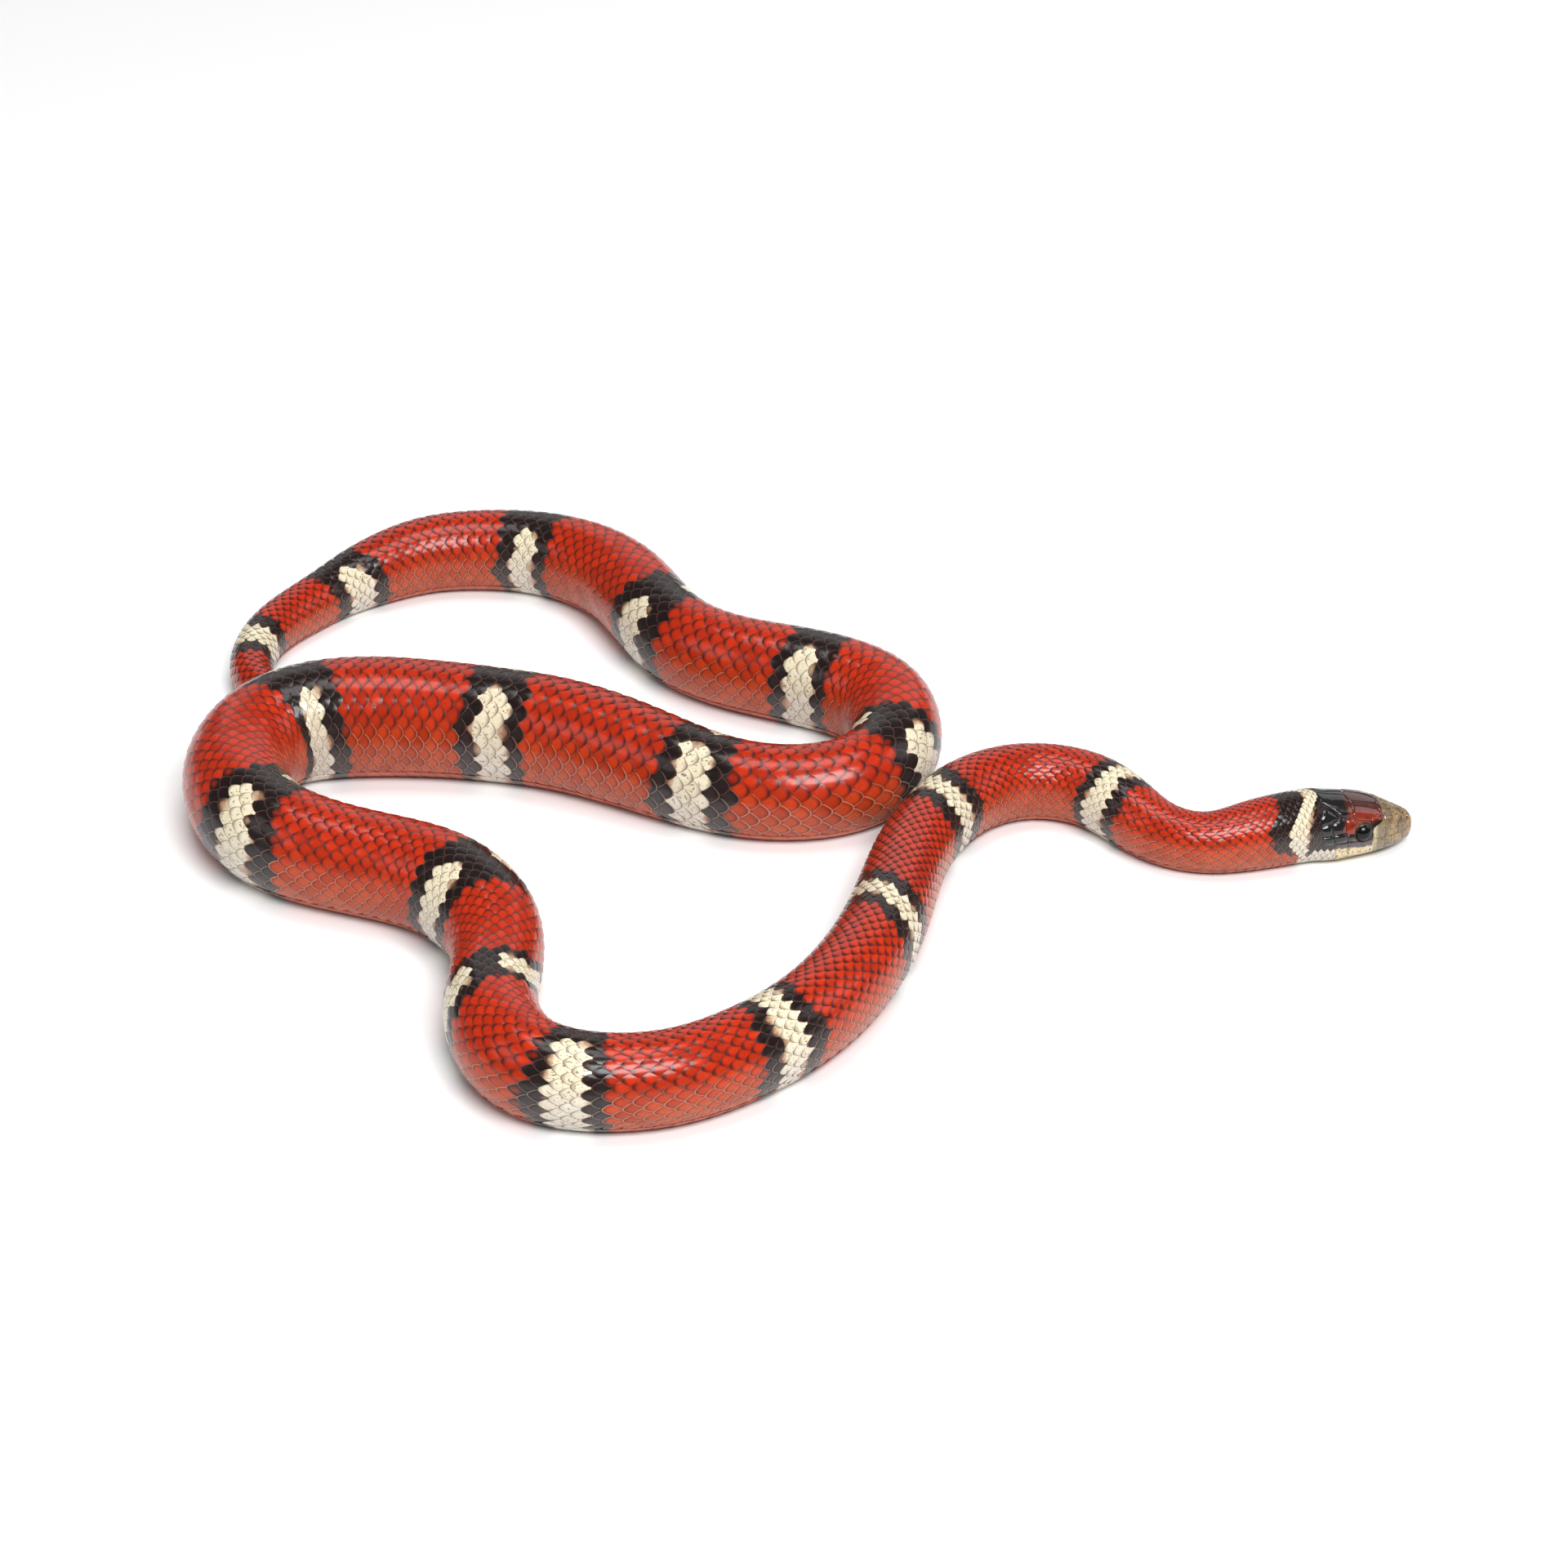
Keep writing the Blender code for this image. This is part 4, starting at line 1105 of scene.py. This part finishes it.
def turn_beside(distance, height):
    """Turn round the head of a place seen from the side."""
    height = height + head_lift(distance)
    ring = np.moveaxis(head_ring_at(np.clip(distance, 0, HEAD_END)), -1, 0)
    _, crown, widest, mouth, chin, square = ring
    rise = np.clip((height - widest) / (crown - widest), 0, 1)
    fall = np.clip((widest - height) / (widest - mouth), 0, 1)
    drop = np.clip((mouth - height) / (mouth - chin), 0, 1)
    high = np.arccos(rise ** (square / 2))
    low = math.pi / 2 + (CHEEK_TURN - math.pi / 2) * fall
    under = CHEEK_TURN + (JAW_TURN - CHEEK_TURN) * np.arcsin(drop) / (math.pi / 2)
    return np.select([height > widest, height > mouth], [high, low], under)


def turn_under(distance, length):
    return np.radians(length / DEGREE)


def shield_flat(outline, corner):
    """A flat plate over an outline, with a seam round it, soft corners and fine faces."""
    grid = SNOUT_GRID if outline[0][0] < SNOUT_BACK else SHIELD_GRID
    bm = bmesh.new()
    bm.faces.new([bm.verts.new((x, y, 0)) for x, y in outline])
    bmesh.ops.inset_region(bm, faces=bm.faces[:], thickness=SEAM)
    middle = max(bm.faces, key=lambda face: (len(face.verts), face.calc_area()))
    bmesh.ops.delete(bm, geom=[face for face in bm.faces if face is not middle], context="FACES")
    bmesh.ops.bevel(bm, geom=bm.verts[:], offset=corner, affect="VERTICES",
                    segments=CORNER_FACES, profile=0.5, material=-1)
    corners = [vert.co.to_2d() for vert in bm.faces[:][0].verts]
    for band in SHIELD_BANDS:
        inner = max(bm.faces, key=lambda face: face.calc_area())
        bmesh.ops.inset_region(bm, faces=[inner], thickness=band)
    low = [min(corner[axis] for corner in corners) for axis in (0, 1)]
    high = [max(corner[axis] for corner in corners) for axis in (0, 1)]
    for axis, normal in ((0, (1, 0, 0)), (1, (0, 1, 0))):
        for at in np.arange(low[axis] + grid / 2, high[axis], grid):
            spot = [at if i == axis else 0 for i in range(3)]
            bmesh.ops.bisect_plane(bm, geom=bm.verts[:] + bm.edges[:] + bm.faces[:],
                                   plane_co=spot, plane_no=normal, dist=MERGE)
    bmesh.ops.triangulate(bm, faces=bm.faces)
    return bm, np.array(corners)


def shield_lift(inward, sunk, depth, dome=0.0):
    """Height of a shield over the form, rounded off at its edge, or of its underside."""
    rounding = np.minimum(inward / sum(SHIELD_BANDS), 1)
    lift = SHIELD_FOOT + (SHIELD_HEIGHT - SHIELD_FOOT) * np.sin(rounding * math.pi / 2)
    lift = lift - dome * np.maximum(1 - inward / DOME_REACH, 0) ** 2
    return np.where(sunk, -depth, lift)


def edge_distance(points, corners):
    """Distance of each point from the nearest side of an outline."""
    nearest = np.full(len(points), 1.0)
    for first, last in zip(corners, np.roll(corners, -1, axis=0)):
        side = last - first
        share = np.clip((points - first) @ side / max(side @ side, 1e-18), 0, 1)
        off = points - first - share[:, None] * side
        nearest = np.minimum(nearest, np.linalg.norm(off, axis=1))
    return nearest


def thicken(bm):
    """Gives a flat plate its underside, and says which corners are on it."""
    under = bmesh.ops.extrude_face_region(bm, geom=bm.faces[:])["geom"]
    sunk = {part for part in under if isinstance(part, bmesh.types.BMVert)}
    return np.array([vert in sunk for vert in bm.verts])


def join_shield(total, bm, distance, turn, points, inward, pit, seed):
    """Moves a shield to its place, keeps what its colour needs, and joins it to the rest."""
    cream, red, grey = (field * MILLIMETRES for field in head_fields(distance, points[:, 2]))
    values = {
        "cream": cream, "red": red, "grey": grey, "edge": inward * MILLIMETRES, "pit": pit,
        "seed": np.full(len(points), seed), "back": distance * MILLIMETRES,
        "side": smooth_step(*CROWN_SIDE, np.abs(np.degrees(turn))),
    }
    for vert, point in zip(bm.verts, points):
        vert.co = point
    for label, numbers in values.items():
        layer = bm.verts.layers.float.new(label)
        for vert, number in zip(bm.verts, numbers):
            vert[layer] = number
    bmesh.ops.remove_doubles(bm, verts=bm.verts, dist=SHIELD_MERGE)
    bmesh.ops.recalc_face_normals(bm, faces=bm.faces)
    piece = finished_mesh("one_shield", bm)
    total.from_mesh(piece)
    bpy.data.meshes.remove(piece)


def add_shield(total, outline, turn_of, corner, dome, side, seed):
    """Lays one shield on the head, open round the eye, and sinks the nostril in it."""
    bm, corners = shield_flat(outline, corner)
    sunk = thicken(bm)
    flat = np.array([vert.co.to_2d() for vert in bm.verts])
    inward = edge_distance(flat, corners)
    lift = shield_lift(inward, sunk, SHIELD_DEPTH, dome)
    distance = np.maximum(flat[:, 0], TIP_REACH)
    turn = turn_of(distance, flat[:, 1]) * side
    points = surface_at(distance, turn)
    nostril = surface_at(NOSTRIL_PLACE[0], NOSTRIL_PLACE[1] * side)
    pit = np.exp(-(np.linalg.norm(points - nostril, axis=1) / NOSTRIL_RADIUS) ** SHARPNESS)
    points = lay(distance, turn, lift - pit * NOSTRIL_DEPTH)
    points[:, 2] = np.maximum(points[:, 2], FLOOR_GAP)
    for centre, axis in EYES.values():
        off, height = around_eye(points, centre, axis)
        near = (off < SOCKET_RADIUS) & (height > 0)
        outward = points - centre - height[:, None] * axis
        push = np.where(near, SOCKET_RADIUS / np.maximum(off, 1e-9) - 1, 0)
        points = points + outward * push[:, None]
    join_shield(total, bm, distance, turn, points, inward, pit, seed)


def add_rostral(total):
    """Lays the shield that wraps the tip of the snout, from the middle of its front."""
    bm = bmesh.new()
    bmesh.ops.create_grid(bm, x_segments=ROSTRAL_FACES[0], y_segments=ROSTRAL_FACES[1], size=1)
    sunk = thicken(bm)
    flat = np.array([vert.co for vert in bm.verts])
    reach = flat[:, 0] + 1
    turn = flat[:, 1] * math.pi
    back = np.interp(np.abs(np.degrees(turn)), *ROSTRAL_BACK)
    distance = np.maximum(reach - 1, ROSTRAL_START) * back
    inward = (2 - reach) * ROSTRAL_BACK[1][0]
    lift = shield_lift(inward, sunk, SHIELD_DEPTH / 2) - ROSTRAL_SINK
    front = place_at(0.0)
    ahead = front - place_at(2 * AIM_STEP)
    ahead = np.array([*ahead / np.linalg.norm(ahead), 0])
    middle = np.array([*front, head_ring_at(0.0)[2]])
    share = np.minimum(reach, 1)[:, None]
    points = middle + (lay(distance, turn, lift) - middle) * share
    bulge = np.where(sunk, -SHIELD_DEPTH, ROSTRAL_DOME)[:, None]
    points = points + ahead * (bulge * (1 - share ** 2))
    join_shield(total, bm, distance, turn, points, inward, np.zeros(len(points)), MIDDLE_SEED)


def lip_outlines():
    for i in range(len(LIP_SEAMS) - 1):
        near, far = LIP_SEAMS[i], LIP_SEAMS[i + 1]
        ends = np.array([near, far])
        mouth, chin = head_ring_at(ends).T[3:5]
        feet = chin + (mouth - chin) * LIP_DROP - head_lift(ends)
        yield ((near, feet[0]), (far, feet[1]),
               (far + LIP_LEAN, LIP_TOPS[i + 1]), (near + LIP_LEAN, LIP_TOPS[i]))


def jaw_outlines():
    top, foot = JAW_ROWS
    for near, far in zip(JAW_SEAMS, JAW_SEAMS[1:]):
        yield (near, top), (far, top), (far, foot), (near, foot)
    yield from SHIELDS_UNDER.values()


def shield_list():
    """Every shield of the right side, how its outline was drawn, its corners and its dome."""
    found = [(outline, turn_above, SHIELD_CORNER, 0) for outline in SHIELDS_ABOVE.values()]
    for name, outline in SHIELDS_BESIDE.items():
        corner = TEMPLE_CORNER if name.startswith("temporal") else SHIELD_CORNER
        dome = TEMPLE_DOME if name.startswith(("temporal", "postocular")) else 0
        found.append((outline, turn_beside, corner, dome))
    found += [(outline, turn_beside, SHIELD_CORNER, 0) for outline in lip_outlines()]
    for outline in jaw_outlines():
        outline = [(x, degrees * DEGREE) for x, degrees in outline]
        found.append((outline, turn_under, SHIELD_CORNER, 0))
    return found


def shields_mesh():
    total = bmesh.new()
    for label in ("cream", "red", "grey", "edge", "pit", "seed", "back", "side"):
        total.verts.layers.float.new(label)
    for outline, turn_of, corner, dome in shield_list():
        for side in (1, -1):
            add_shield(total, outline, turn_of, corner, dome, side, draw.random())
    add_shield(total, FRONTAL, turn_above, SHIELD_CORNER, 0, 1, MIDDLE_SEED)
    add_rostral(total)
    return finished_mesh("head_shields", total)


SNOUT_CREAM = (0.30, 0.195, 0.085)
SNOUT_TAN = (0.30, 0.145, 0.045)
SNOUT_GREEN = (0.19, 0.150, 0.080)
SNOUT_BROWN = (0.15, 0.10, 0.065)
LIP_CREAM = (0.67, 0.54, 0.31)
CROWN_BROWN = (0.050, 0.011, 0.008)
BROW_RED = (0.22, 0.019, 0.005)
CROWN_BLACK = (0.006, 0.006, 0.007)
TEMPLE_GREY = (0.085, 0.066, 0.070)
FLECK = (0.035, 0.024, 0.020)
# The nostril's opening: its shallow pit painted near black as the shade inside it.
NOSTRIL_PIT_SHADE = (0.004, 0.003, 0.003)
SHIELD_SHINE = (0.09, 0.35, 0.04, 0.50)      # roughness, coat, the coat's roughness, gloss
SHIELD_BUMP = 0.00003
SHIELD_GRAIN = 0.6
# Noises: scale and detail
EDGE_NOISE = (900, 3)       # wanders the markings' edges by up to half of EDGE_WANDER mm
EDGE_WANDER = 1.6
BLOTCHES = (700, 3)
CLOUDS = (420, 3)
FLECKS = (1700, 4)
FLECK_SIDE = 0.03           # how much the flecks thin out on the sides
# Fades: start and end, in mm for the markings and for distances, then strength at each
GREY_FADE = (-0.6, 1.2)
RED_FADE = (-0.5, 0.5)
CREAM_FADE = (-0.25, 0.25)
BLOTCH_FADE = (0.50, 0.62, 1.0, 0.4)
CLOUD_FADE = (0.38, 0.62, 0, 0.85)
GREEN_FADE = (6.5, 10.5, 0, 0.75)
TAN_FADE = (3.6, 0.6, 0, 0.85)
LIP_FADE = (10.5, 12.5)
FLECK_FADE = (0.50, 0.62, 0, 0.8)
SEAM_FADE = (0.0, 0.09, 0.5, 0)
SEAM_ON_CREAM = (0, 1, 1.0, 0.5)
DOME_FADE = (0.0, 0.9, 0.0, 3.0)
DOME_START = (15.5, 18.0)


def shield_material():
    """Black crown, red brows, a grey cheek and a mottled cream snout, under a clear gloss, with
    painted shade in the nostrils.
    """
    material, tree, shader = new_material("head_shields", *SHIELD_SHINE)
    side, back, edge = (attribute(tree, label) for label in ("side", "back", "edge"))
    wander = product(tree, centred(tree, noise(tree, *EDGE_NOISE)), EDGE_WANDER)
    grey, red, cream = (
        ramp(tree, calc(tree, "ADD", attribute(tree, label), wander), *fade)
        for label, fade in (("grey", GREY_FADE), ("red", RED_FADE), ("cream", CREAM_FADE)))
    colour = mix(tree, grey, CROWN_BLACK, TEMPLE_GREY)
    bright = product(tree, side, ramp(tree, noise(tree, *BLOTCHES), *BLOTCH_FADE))
    colour = mix(tree, red, colour, mix(tree, bright, CROWN_BROWN, BROW_RED))
    light = mix(tree, ramp(tree, noise(tree, *CLOUDS), *CLOUD_FADE), SNOUT_CREAM, SNOUT_BROWN)
    for fade, tone in ((GREEN_FADE, SNOUT_GREEN), (TAN_FADE, SNOUT_TAN), (LIP_FADE, LIP_CREAM)):
        light = mix(tree, ramp(tree, back, *fade), light, tone)
    thick = calc(tree, "SUBTRACT", noise(tree, *FLECKS), product(tree, side, FLECK_SIDE))
    light = mix(tree, ramp(tree, thick, *FLECK_FADE), light, FLECK)
    colour = mix(tree, cream, colour, light)
    seam = product(tree, ramp(tree, edge, *SEAM_FADE), ramp(tree, cream, *SEAM_ON_CREAM))
    colour = mix(tree, seam, colour, FLECK)
    # Painted shade: the nostril's pit darkened to near black.
    colour = mix(tree, attribute(tree, "pit"), colour, NOSTRIL_PIT_SHADE)
    feed(tree, shader.inputs["Base Color"], colour)
    dome = product(tree, ramp(tree, edge, *DOME_FADE), side, ramp(tree, back, *DOME_START))
    grain = use_group(tree, fine_grain, Size=SHIELD_GRAIN)["Height"]
    bump(tree, shader, calc(tree, "ADD", grain, dome), SHIELD_BUMP)
    return material


new_object("head_shields", shields_mesh(), shield_material(), "head_shields", "head")

# The eyes
# A dark ball under a clear fixed scale, with a round pupil and a thin olive iris, in a low
# rim of small skin folds.
EYE_FACES = (48, 32)
EYE_GLOSS = 0.06
PUPIL_EDGE = 0.80           # sine of the angle from the axis where the iris starts
IRIS_EDGE = 0.885
IRIS_SOFTNESS = 0.02        # how far its edges fade on either side, in the same measure
IRIS_OLIVE = (0.075, 0.080, 0.045)
EYE_BLACK = (0.003, 0.003, 0.003)
STREAKS = (2500, 3)         # scale and detail of the noise in the iris
STREAK_FADE = (0.3, 0.7, 0.6, 1.0)
RIM_THICKNESS = 0.00017
RIM_OVERLAP = 0.00006       # how far the rim's middle lies inside the socket's edge
RIM_FACES = (10, 48)        # round its section, round the eye
RIM_ROUGHNESS = 0.4
RIM_COLOUR = (0.02, 0.016, 0.016)


def aim(bm, axis, place):
    """Turns what was made along z to the eye's axis, and moves it to its place."""
    turn = Vector(axis).to_track_quat("Z", "Y").to_matrix().to_4x4()
    bmesh.ops.transform(bm, matrix=turn, verts=bm.verts)
    bmesh.ops.translate(bm, vec=place, verts=bm.verts)


def eyeball_mesh(name, centre, axis):
    bm = bmesh.new()
    bmesh.ops.create_uvsphere(bm, u_segments=EYE_FACES[0], v_segments=EYE_FACES[1],
                              radius=EYE_RADIUS)
    layer = bm.verts.layers.float.new("off_axis")
    for vert in bm.verts:
        vert[layer] = vert.co.to_2d().length / EYE_RADIUS if vert.co.z > 0 else 1
    aim(bm, axis, centre)
    return finished_mesh(name, bm)


def eye_rim_mesh(name, centre, axis):
    bm = bmesh.new()
    bmesh.ops.create_circle(bm, segments=RIM_FACES[0], radius=RIM_THICKNESS)
    across = Matrix.Rotation(math.pi / 2, 4, "X")
    bmesh.ops.transform(bm, matrix=across, verts=bm.verts)
    bmesh.ops.translate(bm, vec=(SOCKET_RADIUS - RIM_OVERLAP, 0, 0), verts=bm.verts)
    bmesh.ops.spin(bm, geom=bm.verts[:] + bm.edges[:], cent=(0, 0, 0), axis=(0, 0, 1),
                   dvec=(0, 0, 0), angle=2 * math.pi, steps=RIM_FACES[1], use_merge=True)
    bmesh.ops.remove_doubles(bm, verts=bm.verts, dist=MERGE)
    bmesh.ops.recalc_face_normals(bm, faces=bm.faces)
    aim(bm, axis, centre + axis * math.sqrt(EYE_RADIUS ** 2 - SOCKET_RADIUS ** 2))
    return finished_mesh(name, bm)


def eye_material():
    material, tree, shader = new_material("dark_eye", EYE_GLOSS)
    off_axis = attribute(tree, "off_axis")
    inner = ramp(tree, off_axis, PUPIL_EDGE - IRIS_SOFTNESS, PUPIL_EDGE + IRIS_SOFTNESS)
    outer = ramp(tree, off_axis, IRIS_EDGE + IRIS_SOFTNESS, IRIS_EDGE - IRIS_SOFTNESS)
    streaks = ramp(tree, noise(tree, *STREAKS), *STREAK_FADE)
    colour = mix(tree, product(tree, inner, outer, streaks), EYE_BLACK, IRIS_OLIVE)
    feed(tree, shader.inputs["Base Color"], colour)
    return material


eye_glass = eye_material()
rim_skin = new_material("eye_rim", RIM_ROUGHNESS, colour=RIM_COLOUR)[0]
for node, (centre, axis) in EYES.items():
    hand = node.split("_")[1]
    ball, rim = f"eyeball_{hand}", f"eye_rim_{hand}"
    new_object(ball, eyeball_mesh(ball, centre, axis), eye_glass, "eye", node)
    new_object(rim, eye_rim_mesh(rim, centre, axis), rim_skin, "head_shields", "head")
